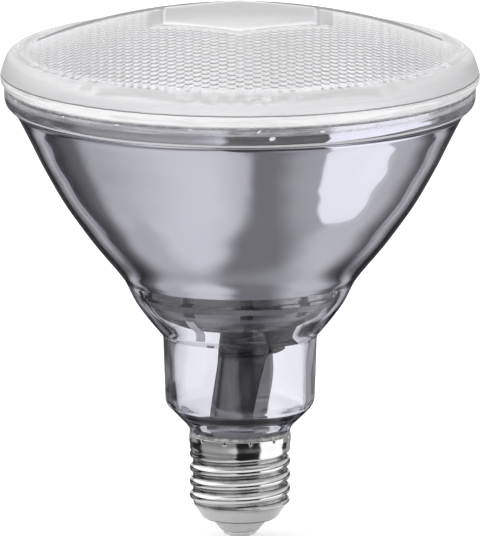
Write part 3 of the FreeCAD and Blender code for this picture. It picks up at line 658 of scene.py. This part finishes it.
def lens_painted_shade(t, pos, xyz, rad):
    """Painted shade on the lens: a dark line along the turned crease above the ground band, a grey rim round the pad, a
    faint grey over the pad, darker patches at the pad's upright sides and dark flecks along the dimpled field's edge.
    """
    wob = t.noise(pos, 500.0, 2.0, 0.5)
    # painted shadow of the turned crease
    d = t.m("ABSOLUTE", t.lin((xyz[2], 1.0), (wob, 0.00016), -0.12338))
    crease = t.m("MULTIPLY", t.ss(d, 0.00026, 0.00008), t.ss(rad, 0.0605, 0.0608))
    h = hex_field(t, xyz)
    edge = t.m("MULTIPLY", t.m("MULTIPLY", t.ss(h, 0.01908, 0.01925), t.ss(h, 0.02000, 0.01970)), t.ss(xyz[2], 0.1362, 0.1364))
    pad = t.m("MULTIPLY", t.ss(h, 0.01860, 0.01840), t.ss(xyz[2], 0.1366, 0.1368))
    # painted shade: dark flecks along the dimpled field's edge
    field_edge_shade = t.m("MULTIPLY", t.m("MULTIPLY", t.ss(rad, 0.0556, 0.0572), t.ss(rad, 0.0586, 0.0583)), t.ss(t.noise(pos, 700.0, 2.0, 0.6), 0.40, 0.60, 0.03, 0.16))
    # painted shade: darker patches beside the pad's upright sides
    side = t.m("MULTIPLY", t.m("MULTIPLY", t.ss(h, 0.0195, 0.0198), t.ss(t.m("ABSOLUTE", xyz[0]), 0.0243, 0.0240)), t.m("MULTIPLY", t.ss(t.m("ABSOLUTE", xyz[1]), 0.0106, 0.0100), t.ss(xyz[2], 0.1350, 0.1353)))
    return t.m("MAXIMUM", t.m("MAXIMUM", t.m("MULTIPLY", crease, 0.85), t.m("MAXIMUM", t.m("MULTIPLY", side, 0.26), field_edge_shade)), t.m("MAXIMUM", t.m("MULTIPLY", edge, 0.45), t.m("MULTIPLY", pad, 0.05)))


def lens_lines(t, pos, xyz, rad):
    """Turned lines that run round the rim."""
    return t.m("MULTIPLY", lens_streaks(t, xyz, rad, 1500.0), t.m("MULTIPLY", t.ss(rad, 0.0583, 0.0595), t.ss(xyz[2], 0.1279, 0.1268, 0.25, 1.0)))


lens_glass = glass("pressed_lens_glass", (0.988, 0.988, 0.990), 90.0, 0.12, haze=0.0, height=0.0001, frost=lens_frost, lines=lens_lines, milk=lens_milk, tone=lens_painted_shade)
piece(lens, lens_glass, "lens_glass", "lens")
lens.visible_shadow = False

# ---------------------------------------------------------------------------
# joint between lens and body: seal, and flecks of squeezed-out adhesive
# ---------------------------------------------------------------------------
def seal_wave(r, z, c, s):
    if r < 58:
        return r + 0.15 * noise.noise(Vector((c * 9, s * 9, 3.0))), z
    q = Vector((c * 26, s * 26, 1.7))
    return r + 0.10 * noise.noise(q) + 0.06 * noise.noise(q * 4) - 0.08, z


seal = lathe("lens_seal_bead", [(57.3, 119.62), (59.0, 119.62), (60.8, 119.62), (60.98, 119.9), (60.8, 120.18), (59.0, 120.18), (57.3, 120.18)], 360, wave=seal_wave)
seal_mat = dielectric("clear_grey_silicone", (0.30, 0.30, 0.31), (0.62, 0.62, 0.63), 160.0, (0.18, 0.4), 0.3, spec=0.4)
piece(seal, seal_mat, "seal_silicone", "lens_seal")

fleck_v, fleck_f = [], []


def blob(cx, cy, cz, sx, sy, sz, turn, tilt=0.0, seed=0):
    """Small irregular drop, centre and half sizes in mm; sx along the rim."""
    base = len(fleck_v)
    nu, nv = 10, 6
    ct, st = math.cos(turn), math.sin(turn)
    rows = []
    for j in range(nv + 1):
        ph = math.pi * j / nv
        row = []
        for i in range(nu):
            th = 2 * math.pi * i / nu
            x, y, z = math.cos(th) * math.sin(ph), math.sin(th) * math.sin(ph), math.cos(ph)
            k = 1 + 0.35 * noise.noise(Vector((x * 1.7 + seed * 3.1, y * 1.7, z * 1.7 + seed)))
            x, y, z = x * sx * k, y * sy * k, z * sz * k
            z += x * tilt
            row.append(base + len(rows) * nu + i)
            fleck_v.append((cx + x * ct - y * st, cy + x * st + y * ct, cz + z))
            if j in (0, nv) and i:
                fleck_v[-1] = fleck_v[-1 - i]
        rows.append(row)
    for j in range(nv):
        for i in range(nu):
            k = (i + 1) % nu
            if j == 0:
                fleck_f.append((rows[0][0], rows[1][i], rows[1][k]))
            elif j == nv - 1:
                fleck_f.append((rows[j][i], rows[j + 1][0], rows[j][k]))
            else:
                fleck_f.append((rows[j][i], rows[j + 1][i], rows[j + 1][k], rows[j][k]))


def fleck(deg, z, length, tall, seed, tilt=0.0, r=61.02):
    """deg is from the front, positive to the right."""
    a = math.radians(deg - 90)
    blob(r * math.cos(a), r * math.sin(a), z, length / 2, 0.13, tall / 2, a + math.pi / 2, tilt, seed)


for k, (deg, z, length, tall, tilt) in enumerate([
        (4.6, 119.2, 1.1, 0.6, 0.5), (7.8, 117.3, 1.9, 0.9, 0.2), (20.3, 118.6, 1.5, 0.6, -0.1), (26.3, 118.2, 3.0, 0.35, 0.05),
        (29.0, 118.3, 2.6, 0.4, 0.08), (35.6, 118.7, 1.3, 0.7, -0.5), (33.0, 117.4, 0.7, 0.3, 0.0), (-12.0, 119.5, 1.2, 0.35, 0.0), (-31.0, 119.4, 1.8, 0.4, 0.1),
        (-48.0, 119.3, 1.0, 0.5, 0.0), (52.0, 119.4, 1.6, 0.4, 0.0), (-71.0, 119.4, 1.3, 0.4, 0.0), (78.0, 119.3, 1.1, 0.5, 0.2)]):
    fleck(deg, z, length, tall, k, tilt)
for k in range(16):
    fleck(random.uniform(95, 265), 119.4 + random.uniform(-0.5, 0.1), random.uniform(0.7, 2.4), random.uniform(0.3, 0.7), 20 + k, random.uniform(-0.2, 0.2))


def clean(v, f):
    """Drops the repeated pole points."""
    used = sorted({q for g in f for q in g})
    new = {q: i for i, q in enumerate(used)}
    return [v[q] for q in used], [tuple(new[q] for q in g) for g in f]


fleck_v, fleck_f = clean(fleck_v, fleck_f)
flecks = make("adhesive_flecks", fleck_v, fleck_f)
piece(flecks, dielectric("white_adhesive", (0.80, 0.80, 0.79), (0.93, 0.93, 0.92), 500.0, (0.3, 0.5), 0.2), "seal_silicone")

# ---------------------------------------------------------------------------
# screw shell
# ---------------------------------------------------------------------------
PITCH_T, CREST, ROOT = 3.629, 13.05, 12.15
_h = CREST - ROOT
_R = ((PITCH_T / 4) ** 2 + (_h / 2) ** 2) / _h


def thread_r(z, deg):
    s = z - (19.0 + PITCH_T * (deg - 180.0) / 360.0)
    s = abs((s + PITCH_T / 2) % PITCH_T - PITCH_T / 2)
    if s <= PITCH_T / 4:
        r = CREST - _R + math.sqrt(_R * _R - s * s)
    else:
        u = PITCH_T / 2 - s
        r = ROOT + _R - math.sqrt(_R * _R - u * u)
    hi = smoothstep(23.1, 24.3, z)
    r = r * (1 - hi) + 13.0 * hi
    lo = smoothstep(8.6, 10.8, z)
    base = 11.35 + (ROOT - 11.35) * min((z - 8.6) / 2.2, 1.0)
    return base * (1 - lo) + r * lo


PUNCH = [282.0 + 30.0 * k for k in range(12)]
degs = []
for p0 in PUNCH:
    degs += [p0 - 2.75 + 0.5 * i for i in range(12)]
    degs += [p0 + 2.75 + (24.5) * (i + 0.5) / 14 for i in range(14)]
degs = sorted(d % 360 for d in degs)
NA = len(degs)


def shell_rows():
    rows = []                                       # (z, r or None for the thread, outer?)
    low = [(7.7, 5.6), (8.4, 5.6), (9.1, 5.75), (9.7, 6.1), (10.15, 6.7), (10.9, 8.0)]
    for r, z in low:
        rows.append((z, r, True))
    n = 104
    for i in range(n + 1):
        rows.append((8.6 + (25.0 - 8.6) * i / n, None, True))
    rows.append((25.4, 13.04, True))
    rows.append((25.8, 13.1, True))
    rows.append((26.3, 13.17, True))
    rows.append((26.8, 13.2, True))
    for i in range(1, 14):
        rows.append((26.8 + 1.15 * i / 13, 13.2, True))
    rows.append((28.05, 13.16, True))
    rows.append((28.1, 13.08, True))
    rows.append((28.1, 12.85, False))
    rows.append((25.8, 12.85, False))
    n = 44
    for i in range(n, -1, -1):
        rows.append((8.6 + (25.0 - 8.6) * i / n, None, False))
    for r, z in ((10.55, 8.15), (9.82, 6.9), (9.45, 6.4), (8.95, 6.1), (8.4, 5.95), (7.7, 5.95)):
        rows.append((z, r, False))
    return rows


verts, faces, sharp = [], [], []
rows = shell_rows()
for z, r, outer in rows:
    for d in degs:
        q = r
        if q is None:
            q = thread_r(z, d) - (0.0 if outer else 0.35)
        if outer and z > 26.7:                      # punch marks
            near = min(abs((d - p + 180) % 360 - 180) for p in PUNCH)
            g = math.hypot(math.radians(near) * 13.2, (z - 27.6) * 1.0)
            q -= 0.27 * (1 - smoothstep(0.12, 0.46, g))
            q += 0.05 * math.exp(-((g - 0.56) / 0.16) ** 2)
        if outer and z > 25.6 and r is not None:    # the spun land isn't quite round
            q += 0.018 * noise.noise(Vector((math.cos(math.radians(d)) * 3, math.sin(math.radians(d)) * 3, z * 0.6)))
        a = math.radians(d)
        verts.append((q * math.cos(a), q * math.sin(a), z))
nr = len(rows)
for j in range(nr):
    k = (j + 1) % nr
    for i in range(NA):
        m_ = (i + 1) % NA
        faces.append((j * NA + i, j * NA + m_, k * NA + m_, k * NA + i))
for j, (z, r, outer) in enumerate(rows):
    if (z, r) in ((28.1, 12.85), (7.7, 5.6), (5.6, 7.7), (5.95, 7.7)):
        sharp += [(j * NA + i, j * NA + (i + 1) % NA) for i in range(NA)]
shell = make("threaded_screw_shell", verts, faces, sharp, flip=volume(verts, faces) < 0)
mt, t, bs, pos, xyz = material("bright_nickel_plate")
rad = t.m("SQRT", t.lin((t.m("MULTIPLY", xyz[0], xyz[0]), 1.0), (t.m("MULTIPLY", xyz[1], xyz[1]), 1.0)))
cloud = t.noise(pos, 220.0, 4.0, 0.6)
fine = t.noise(t.scaled(pos, 1.0, 1.0, 5.0), 1500.0, 3.0, 0.65)
tone = t.ramp(cloud, [(0.3, (0.70, 0.695, 0.685)), (0.7, (0.80, 0.797, 0.79))])
thread = t.m("MULTIPLY", t.ss(xyz[2], 0.0085, 0.0100), t.ss(xyz[2], 0.0252, 0.0244))
# painted shade: the thread roots (radius under 12.7 mm) are darkened in clouds, and made a little rougher
root_shade = t.m("MULTIPLY", t.m("MULTIPLY", t.ss(rad, 0.01270, 0.0122), thread), t.ss(cloud, 0.3, 0.75, 0.45, 0.95))
cone = t.ss(xyz[2], 0.0094, 0.0086)
# painted shade: the inside of the punch marks is near black
punch_shade = t.m("MULTIPLY", t.ss(rad, 0.01312, 0.01300), t.ss(xyz[2], 0.0268, 0.0271))
tone = t.mix(tone, (0.60, 0.597, 0.59, 1.0), cone)
# painted shadow: below about 6 mm the rolled lower edge is near black, standing for the shadowed gap at the insulator
tone = t.mix(tone, (0.12, 0.12, 0.12, 1.0), t.ss(xyz[2], 0.0063, 0.0060))
t.l.new(t.mix(t.mix(tone, (0.14, 0.135, 0.13, 1.0), root_shade), (0.02, 0.02, 0.02, 1.0), punch_shade), bs.inputs["Base Color"])
bs.inputs["Metallic"].default_value = 1.0
t.l.new(t.m("ADD", t.ss(t.lin((fine, 0.5), (cloud, 0.5)), 0.35, 0.65, 0.10, 0.16), t.m("ADD", t.m("MULTIPLY", root_shade, 0.12), t.m("MULTIPLY", cone, 0.10))), bs.inputs["Roughness"])
t.l.new(t.bump(t.lin((fine, 0.4), (cloud, 0.6)), 0.10, 0.00003), bs.inputs["Normal"])
piece(shell, mt, "shell_nickel", "screw_shell")

# insulator
ins = lathe("cap_insulator_cone", join_runs([(0.9, 2.5), (2.7, 2.5)], run((2.7, 2.5), (4.45, 2.5), 2), spline([(4.45, 2.5), (4.85, 2.6), (5.12, 2.85), (5.35, 3.2)], 6),
            run((5.35, 3.2), (7.5, 5.54), 8), [(7.62, 5.6), (7.7, 5.62), (7.7, 5.93), (8.4, 5.94), (8.95, 6.09), (9.45, 6.39), (9.8, 6.9), (10.5, 8.2), (10.5, 10.6), (0.9, 10.6)]), 128)
mt, t, bs, pos, xyz = material("grey_insulator")
cloud = t.noise(pos, 420.0, 4.0, 0.6)
speck = t.noise(pos, 2600.0, 2.0, 0.6)
col = t.ramp(cloud, [(0.3, (0.55, 0.55, 0.55)), (0.7, (0.63, 0.63, 0.63))])
col = t.mix(col, t.ramp(speck, [(0.28, (0.72, 0.72, 0.73)), (0.45, (1, 1, 1))]), 0.6, "MULTIPLY")
t.l.new(col, bs.inputs["Base Color"])
t.l.new(t.ss(cloud, 0.3, 0.7, 0.28, 0.42), bs.inputs["Roughness"])
t.l.new(t.bump(t.lin((speck, 0.5), (cloud, 0.5)), 0.2, 0.00004), bs.inputs["Normal"])
bs.inputs["Subsurface Weight"].default_value = 0.0
piece(ins, mt, "insulator_grey", "cap_insulator")

plate = lathe("centre_contact_plate", [(0.8, 1.5), (2.0, 1.5), (3.9, 1.5), (4.2, 1.62), (4.35, 1.85), (4.35, 2.35), (4.25, 2.5), (0.8, 2.5)], 96)
piece(plate, metal("contact_plate_nickel", (0.66, 0.655, 0.645), (0.78, 0.775, 0.765), 600.0, (0.16, 0.32), rings=True), "contact_metal", "contact_plate")


def solder_wave(r, z, c, s):
    return r * (1 + 0.05 * noise.noise(Vector((c * 1.6, s * 1.6, z)))) if r > 0.9 and z < 1.45 else r, z


drop = lathe("centre_solder_drop", [(0, 0), (0.5, 0.01), (1.0, 0.05), (1.6, 0.18), (2.1, 0.4), (2.45, 0.75), (2.65, 1.15), (2.72, 1.5), (0.8, 1.5), (0.8, 2.5), (0.45, 2.5), (0.45, 1.2), (0, 1.2)],
             96, closed=False, wave=solder_wave)
piece(drop, metal("solder", (0.62, 0.62, 0.63), (0.80, 0.80, 0.80), 900.0, (0.14, 0.34), bump=0.25), "solder_tin", "contact_solder")

# cement: what shows is an uneven bead round the glass, above the shell's rim
def bead_wave(r, z, c, s):
    q = Vector((c * 7.0, s * 7.0, z * 0.5))
    k = smoothstep(28.0, 28.5, z)
    if k <= 0:
        return r, z
    return r + k * (0.22 * noise.noise(q) + 0.12 * noise.noise(q * 3.3)), z + k * (0.30 * noise.noise(q + Vector((5, 0, 0))) + 0.16 * noise.noise(q * 3.0))


bead = lathe("cap_cement_bead", [(11.55, 25.25), (12.25, 25.25), (12.3, 25.75), (12.8, 25.85), (12.83, 28.0), (12.98, 28.25), (13.0, 28.6), (12.85, 28.95),
                               (12.6, 29.15), (12.3, 29.2), (12.0, 28.9), (11.55, 28.4)], 240, wave=bead_wave)
piece(bead, dielectric("cap_cement_stone", (0.20, 0.20, 0.198), (0.74, 0.735, 0.725), 620.0, (0.25, 0.6), 0.6, spec=0.5, height=0.00014), "cement", "cap_cement")

# ---------------------------------------------------------------------------
# CAD nodes that stay, with their materials
# ---------------------------------------------------------------------------
def dress(name, mt):
    wear(NODES[name], mt)


mt, t, bs, pos, xyz = material("satin_cast_aluminium")
cloud = t.noise(pos, 160.0, 4.0, 0.6)
grain = t.noise(pos, 1800.0, 2.0, 0.6)
turn = t.noise(t.scaled(pos, 1.0, 1.0, 14.0), 500.0, 2.0, 0.6)
# the band seen through the neck (48 to 59 mm) is made much darker, in streaks
streak_noise = t.noise(t.scaled(pos, 0.12, 0.12, 4.0), 900.0, 2.0, 0.6)
neck = t.m("MULTIPLY", t.ss(xyz[2], 0.0482, 0.0500), t.ss(xyz[2], 0.0590, 0.0574))
tone = t.ramp(cloud, [(0.3, (0.38, 0.38, 0.392)), (0.7, (0.43, 0.43, 0.442))])
neck_dark_streaks = t.ramp(streak_noise, [(0.45, (0.07, 0.07, 0.073)), (0.72, (0.24, 0.24, 0.25))])
tone = t.mix(tone, (0.24, 0.24, 0.25, 1.0), t.ss(xyz[2], 0.0632, 0.0640))
t.l.new(t.mix(tone, neck_dark_streaks, neck), bs.inputs["Base Color"])
bs.inputs["Metallic"].default_value = 1.0
t.l.new(t.m("ADD", t.ss(t.lin((grain, 0.5), (turn, 0.5)), 0.35, 0.65, 0.10, 0.14), t.m("ADD", t.ss(xyz[2], 0.0575, 0.0560, 0.0, 0.07), t.m("MULTIPLY", neck, 0.10))), bs.inputs["Roughness"])
t.l.new(t.bump(t.lin((grain, 0.4), (turn, 0.6)), 0.06, 0.00003), bs.inputs["Normal"])
dress("heat_sink", mt)
tinned = metal("tinned_spring_steel", (0.86, 0.86, 0.87), (0.94, 0.94, 0.95), 500.0, (0.28, 0.42))
tinned.node_tree.nodes["Principled BSDF"].inputs["Metallic"].default_value = 0.2
dress("retaining_clips", tinned)
dress("heat_sink_adhesive", dielectric("grey_silicone", (0.16, 0.16, 0.165), (0.24, 0.24, 0.245), 300.0, (0.3, 0.5)))
dress("spreader_plate", metal("turned_aluminium", (0.30, 0.30, 0.31), (0.40, 0.40, 0.41), 220.0, (0.24, 0.38), rings=True))
dress("thermal_pad", dielectric("thermal_pad_grey", (0.30, 0.31, 0.33), (0.40, 0.41, 0.43), 500.0, (0.6, 0.8)))

mt, t, bs, pos, xyz = material("white_solder_mask")
cloud = t.noise(pos, 300.0, 3.0, 0.6)
ringr = t.m("SQRT", t.lin((t.m("MULTIPLY", xyz[0], xyz[0]), 1.0), (t.m("MULTIPLY", xyz[1], xyz[1]), 1.0)))
track = t.m("MULTIPLY", t.ss(t.m("ABSOLUTE", t.lin((ringr, 1.0), -0.0176)), 0.0016, 0.0014), 1.0)
track = t.m("MAXIMUM", track, t.ss(t.m("ABSOLUTE", t.lin((ringr, 1.0), -0.0086)), 0.0016, 0.0014))
col = t.ramp(cloud, [(0.3, (0.84, 0.845, 0.84)), (0.7, (0.91, 0.912, 0.90))])
t.l.new(t.mix(col, (0.80, 0.81, 0.79, 1.0), track), bs.inputs["Base Color"])
t.l.new(t.ss(cloud, 0.3, 0.7, 0.3, 0.42), bs.inputs["Roughness"])
t.l.new(t.bump(t.lin((track, 0.8), (cloud, 0.2)), 0.3, 0.00005), bs.inputs["Normal"])
dress("led_board", mt)
dress("led_packages", dielectric("led_body_white", (0.86, 0.86, 0.85), (0.93, 0.93, 0.92), 1500.0, (0.3, 0.45)))
dress("led_phosphors", dielectric("phosphor_gel", (0.86, 0.62, 0.12), (0.93, 0.74, 0.22), 1500.0, (0.2, 0.35), coat=0.4))
dress("board_screws", metal("zinc_screw_steel", (0.62, 0.62, 0.62), (0.76, 0.76, 0.77), 700.0, (0.18, 0.34)))
dress("led_lead_positive", dielectric("wire_red_pvc", (0.50, 0.02, 0.02), (0.62, 0.04, 0.03), 700.0, (0.3, 0.5)))
dress("led_lead_negative", dielectric("wire_black_pvc", (0.015, 0.015, 0.016), (0.035, 0.035, 0.036), 700.0, (0.3, 0.5)))
dress("live_wire", dielectric("wire_black_live", (0.015, 0.015, 0.016), (0.035, 0.035, 0.036), 700.0, (0.3, 0.5)))
dress("neutral_wire", dielectric("wire_blue_pvc", (0.02, 0.08, 0.42), (0.03, 0.12, 0.52), 700.0, (0.3, 0.5)))
dress("lead_solder_joints", metal("solder_joint", (0.64, 0.64, 0.65), (0.80, 0.80, 0.80), 900.0, (0.12, 0.3), bump=0.25))
dress("insulating_sleeve", dielectric("sleeve_white_pet", (0.72, 0.73, 0.73), (0.80, 0.81, 0.81), 300.0, (0.3, 0.45)))

mt, t, bs, pos, xyz = material("circuit_board_green")
cloud = t.noise(pos, 500.0, 3.0, 0.6)
brick = t.node("ShaderNodeTexBrick")
t.l.new(t.scaled(pos, 0.0, 1.0, 1.0), brick.inputs["Vector"])
brick.inputs["Scale"].default_value = 260.0
brick.inputs["Mortar Size"].default_value = 0.03
col = t.ramp(cloud, [(0.3, (0.015, 0.10, 0.04)), (0.7, (0.03, 0.16, 0.07))])
t.l.new(t.mix(col, (0.06, 0.26, 0.12, 1.0), brick.outputs["Fac"]), bs.inputs["Base Color"])
t.l.new(t.ss(cloud, 0.3, 0.7, 0.28, 0.45), bs.inputs["Roughness"])
t.l.new(t.bump(brick.outputs["Fac"], 0.4, 0.00004), bs.inputs["Normal"])
dress("driver_board", mt)
dress("transformer_core", dielectric("ferrite_core", (0.03, 0.03, 0.032), (0.06, 0.06, 0.063), 900.0, (0.5, 0.7), 0.3))
dress("transformer_coil", dielectric("coil_tape_yellow", (0.72, 0.50, 0.05), (0.82, 0.60, 0.10), 400.0, (0.3, 0.5)))
dress("input_choke", dielectric("ferrite_choke", (0.035, 0.034, 0.034), (0.07, 0.068, 0.066), 900.0, (0.45, 0.65), 0.3))
dress("smoothing_capacitor", dielectric("capacitor_sleeve_black", (0.015, 0.016, 0.02), (0.03, 0.032, 0.04), 500.0, (0.25, 0.4)))
dress("film_capacitor", dielectric("film_box_ochre", (0.60, 0.42, 0.10), (0.70, 0.50, 0.14), 500.0, (0.35, 0.5)))
dress("bridge_rectifier", dielectric("bridge_epoxy", (0.02, 0.02, 0.022), (0.04, 0.04, 0.042), 800.0, (0.45, 0.6)))
dress("driver_chip", dielectric("chip_epoxy_black", (0.02, 0.02, 0.022), (0.045, 0.045, 0.046), 800.0, (0.45, 0.6)))
dress("fuse_resistor", dielectric("resistor_body_buff", (0.55, 0.45, 0.30), (0.66, 0.55, 0.38), 800.0, (0.4, 0.55)))

# ---------------------------------------------------------------------------
# camera, at the photograph's viewing angle
# ---------------------------------------------------------------------------
scene = bpy.context.scene
ELEV = math.radians(11.3)
AIM = Vector((0.0, 0.0, 0.0716))
cam_data = bpy.data.cameras.new("camera")
cam = bpy.data.objects.new("camera", cam_data)
scene.collection.objects.link(cam)
back = Vector((0.0, -math.cos(ELEV), math.sin(ELEV)))
cam.location = AIM + back * 5.2
cam.rotation_euler = (-back).to_track_quat("-Z", "Y").to_euler()
cam_data.sensor_width = 36.0
cam_data.lens = 1348.5
cam_data.clip_start, cam_data.clip_end = 0.05, 100.0
scene.camera = cam

# ---------------------------------------------------------------------------
# floor and studio.  The light comes from a soft surround: a large pale panel
# to the left, a box light to the right, an open gap in front, white overhead.
# ---------------------------------------------------------------------------
fv, ff = [(0.0, 0.0, 0.0)], []
RINGS, FN = (200.0, 1000.0, 6000.0, 60000.0), 48
for r in RINGS:
    for i in range(FN):
        a = 2 * math.pi * i / FN
        fv.append((r * math.cos(a), r * math.sin(a), 0.0))
for i in range(FN):
    ff.append((0, 1 + i, 1 + (i + 1) % FN))
for k in range(len(RINGS) - 1):
    for i in range(FN):
        j = (i + 1) % FN
        ff.append((1 + k * FN + i, 1 + (k + 1) * FN + i, 1 + (k + 1) * FN + j, 1 + k * FN + j))
floor = make("floor", fv, ff, smooth=False)
mt = bpy.data.materials.new("pale_floor")
mt.use_nodes = True
t = Tree(mt.node_tree)
bs = t.n["Principled BSDF"]
out = t.n["Material Output"]
pos = t.node("ShaderNodeTexCoord").outputs["Object"]
t.l.new(t.ramp(t.noise(pos, 30.0, 3.0, 0.5), [(0.3, (0.93, 0.93, 0.93)), (0.7, (0.95, 0.95, 0.95))]), bs.inputs["Base Color"])
bs.inputs["Roughness"].default_value = 0.9
bs.inputs["Specular IOR Level"].default_value = 0.0
bs.inputs["Emission Color"].default_value = (1.0, 1.0, 1.0, 1.0)
lp = t.node("ShaderNodeLightPath")
t.l.new(t.m("MULTIPLY_ADD", lp.outputs["Is Camera Ray"], 0.22, 0.12), bs.inputs["Emission Strength"])
hide = t.m("MULTIPLY", t.m("GREATER_THAN", lp.outputs["Glossy Depth"], 0.5), t.ss(lp.outputs["Ray Length"], 0.022, 0.034))
mx = t.node("ShaderNodeMixShader")
t.l.new(hide, mx.inputs[0])
t.l.new(bs.outputs[0], mx.inputs[1])
t.l.new(t.node("ShaderNodeBsdfTransparent").outputs[0], mx.inputs[2])
t.l.new(mx.outputs[0], out.inputs["Surface"])
wear(floor, mt)
floor.visible_shadow = False

world = bpy.data.worlds.new("studio")
scene.world = world
world.use_nodes = True
t = Tree(world.node_tree)
bg = t.n["Background"]
gen = t.node("ShaderNodeTexCoord").outputs["Generated"]
nrm = t.node("ShaderNodeVectorMath", operation="NORMALIZE")
t.l.new(gen, nrm.inputs[0])
sep = t.node("ShaderNodeSeparateXYZ")
t.l.new(nrm.outputs[0], sep.inputs[0])
x, y, z = sep.outputs
w = t.m("MULTIPLY", z, -1.0)
hor = t.m("SQRT", t.m("MAXIMUM", t.lin((t.m("MULTIPLY", x, x), 1.0), (t.m("MULTIPLY", y, y), 1.0)), 1e-6))
hb = t.m("DIVIDE", y, hor)                     # 1 straight behind the lamp, -1 in front


def all_of(*masks):
    acc = masks[0]
    for q in masks[1:]:
        acc = t.m("MULTIPLY", acc, q)
    return acc


# floor side of the room
low = t.ss(w, 0.25, 0.85)
gx = t.m("DIVIDE", x, t.m("MAXIMUM", w, 0.2))
v = t.lerp(0.012, 0.23, low)
v = t.m("ADD", v, t.m("MULTIPLY", t.m("MULTIPLY", t.ss(t.lin((x, 1.0), (w, -0.24)), 0.0, 0.20), t.ss(w, 0.35, 0.6)), 0.17))
v = t.m("ADD", v, t.m("MULTIPLY", t.m("MULTIPLY", t.ss(t.lin((y, 1.0), (w, 0.02)), 0.0, 0.18), t.ss(w, 0.3, 0.5)), 0.16))
gy = t.m("DIVIDE", y, t.m("MAXIMUM", w, 0.2))
v = t.m("MULTIPLY", v, t.lerp(1.0, 0.55, t.m("MULTIPLY", t.ss(gx, -0.5, -0.85), t.ss(gy, 0.45, 0.8))))
v = t.m("MULTIPLY", v, t.ss(gx, 0.3, 0.6, 1.0, 1.18))
behind = all_of(t.ss(hb, 0.62, 0.88), t.ss(w, 0.22, 0.28), t.ss(w, 0.86, 0.72))
v = t.lerp(v, 0.026, behind)
# pale panel on the left
left = all_of(t.ss(t.lin((x, -1.0), (y, -0.393), (w, -0.0775)), -0.09, 0.09),
              t.ss(t.lin((x, -1.0), (y, -0.75), (w, -0.12)), -0.08, 0.14),
              t.ss(t.lin((x, -1.0), (y, 0.201), (w, 0.2135)), -0.03, 0.05),
              t.ss(t.lin((w, 0.62), (y, -1.0)), -0.10, 0.12))
pale = t.m("MULTIPLY", t.ss(w, 0.1, 0.5, 0.46, 0.80), t.m("MULTIPLY", t.ss(gx, -1.3, -0.35, 0.55, 1.0), t.ss(gx, 0.15, -0.25, 0.72, 1.0)))
pale = t.m("MULTIPLY", pale, t.lerp(1.0, 0.78, t.m("MULTIPLY", t.ss(gy, 0.05, 0.25), t.ss(gx, -0.85, -0.62))))
v = t.lerp(v, pale, left)
# overhead and behind
v = t.lerp(v, t.ss(x, -0.7, 0.8, 1.50, 0.74), t.ss(z, 0.10, 0.36))
v = t.lerp(v, t.ss(x, -0.45, 0.50, 0.86, 1.10), all_of(t.ss(hb, -0.10, -0.40), t.ss(z, 0.24, 0.38), t.ss(z, 0.86, 0.70)))
v = t.lerp(v, 0.08, all_of(t.ss(hb, 0.62, 0.80), t.ss(z, -0.32, -0.24), t.ss(z, 0.06, -0.02)))
v = t.lerp(v, 0.34, all_of(t.ss(hb, 0.30, 0.50), t.ss(hb, 0.86, 0.74), t.ss(z, -0.26, -0.22), t.ss(z, 0.05, -0.05)))
v = t.lerp(v, 0.32, all_of(t.ss(hb, 0.972, 0.985), t.ss(z, -0.25, -0.205), t.ss(z, 0.04, -0.02)))
v = t.lerp(v, 1.05, all_of(t.ss(hb, 0.90, 0.96), t.ss(z, -0.02, 0.04)))
v = t.lerp(v, 0.60, all_of(t.ss(hb, 0.83, 0.85), t.ss(hb, 0.95, 0.90), t.ss(w, 0.30, 0.34), t.ss(w, 0.64, 0.50)))
v = t.lerp(v, 0.42, all_of(t.ss(hb, 0.70, 0.78), t.ss(hb, 0.97, 0.93), t.ss(w, 0.08, 0.13), t.ss(w, 0.36, 0.31), t.ss(x, 0.05, 0.15)))
# box light on the right
boxl = all_of(t.ss(t.lin((x, 1.0), (w, -0.60)), -0.012, 0.012),
              t.ss(t.lin((x, 1.0), (y, 0.953), (w, -0.409)), -0.02, 0.02),
              t.ss(t.lin((x, 0.49), (y, -1.0)), -0.012, 0.02),
              t.ss(t.lin((x, 1.0), (y, -0.57), (w, -0.575)), -0.012, 0.016),
              t.ss(z, -0.01, -0.05))
v = t.lerp(v, t.ss(w, 0.2, 0.85, 1.36, 1.12), boxl)
lp = t.node("ShaderNodeLightPath")
clear = all_of(lp.outputs["Is Transmission Ray"], t.m("LESS_THAN", lp.outputs["Glossy Depth"], 0.5), t.m("LESS_THAN", lp.outputs["Diffuse Depth"], 0.5))
v = t.lerp(v, 0.86, clear)
v = t.lerp(v, 1.0, lp.outputs["Is Camera Ray"])
cmb = t.node("ShaderNodeCombineColor")
t.l.new(v, cmb.inputs[0])
t.l.new(v, cmb.inputs[1])
t.l.new(t.m("MULTIPLY", v, 1.01), cmb.inputs[2])
t.l.new(cmb.outputs[0], bg.inputs["Color"])
bg.inputs["Strength"].default_value = 1.0

scene.view_settings.view_transform = "Standard"
scene.view_settings.look = "None"
scene.view_settings.exposure = 0.0
scene.view_settings.gamma = 1.0
scene.cycles.max_bounces = 24
scene.cycles.transmission_bounces = 20
scene.cycles.glossy_bounces = 10
scene.cycles.diffuse_bounces = 4
scene.cycles.transparent_max_bounces = 16
scene.cycles.sample_clamp_indirect = 6.0
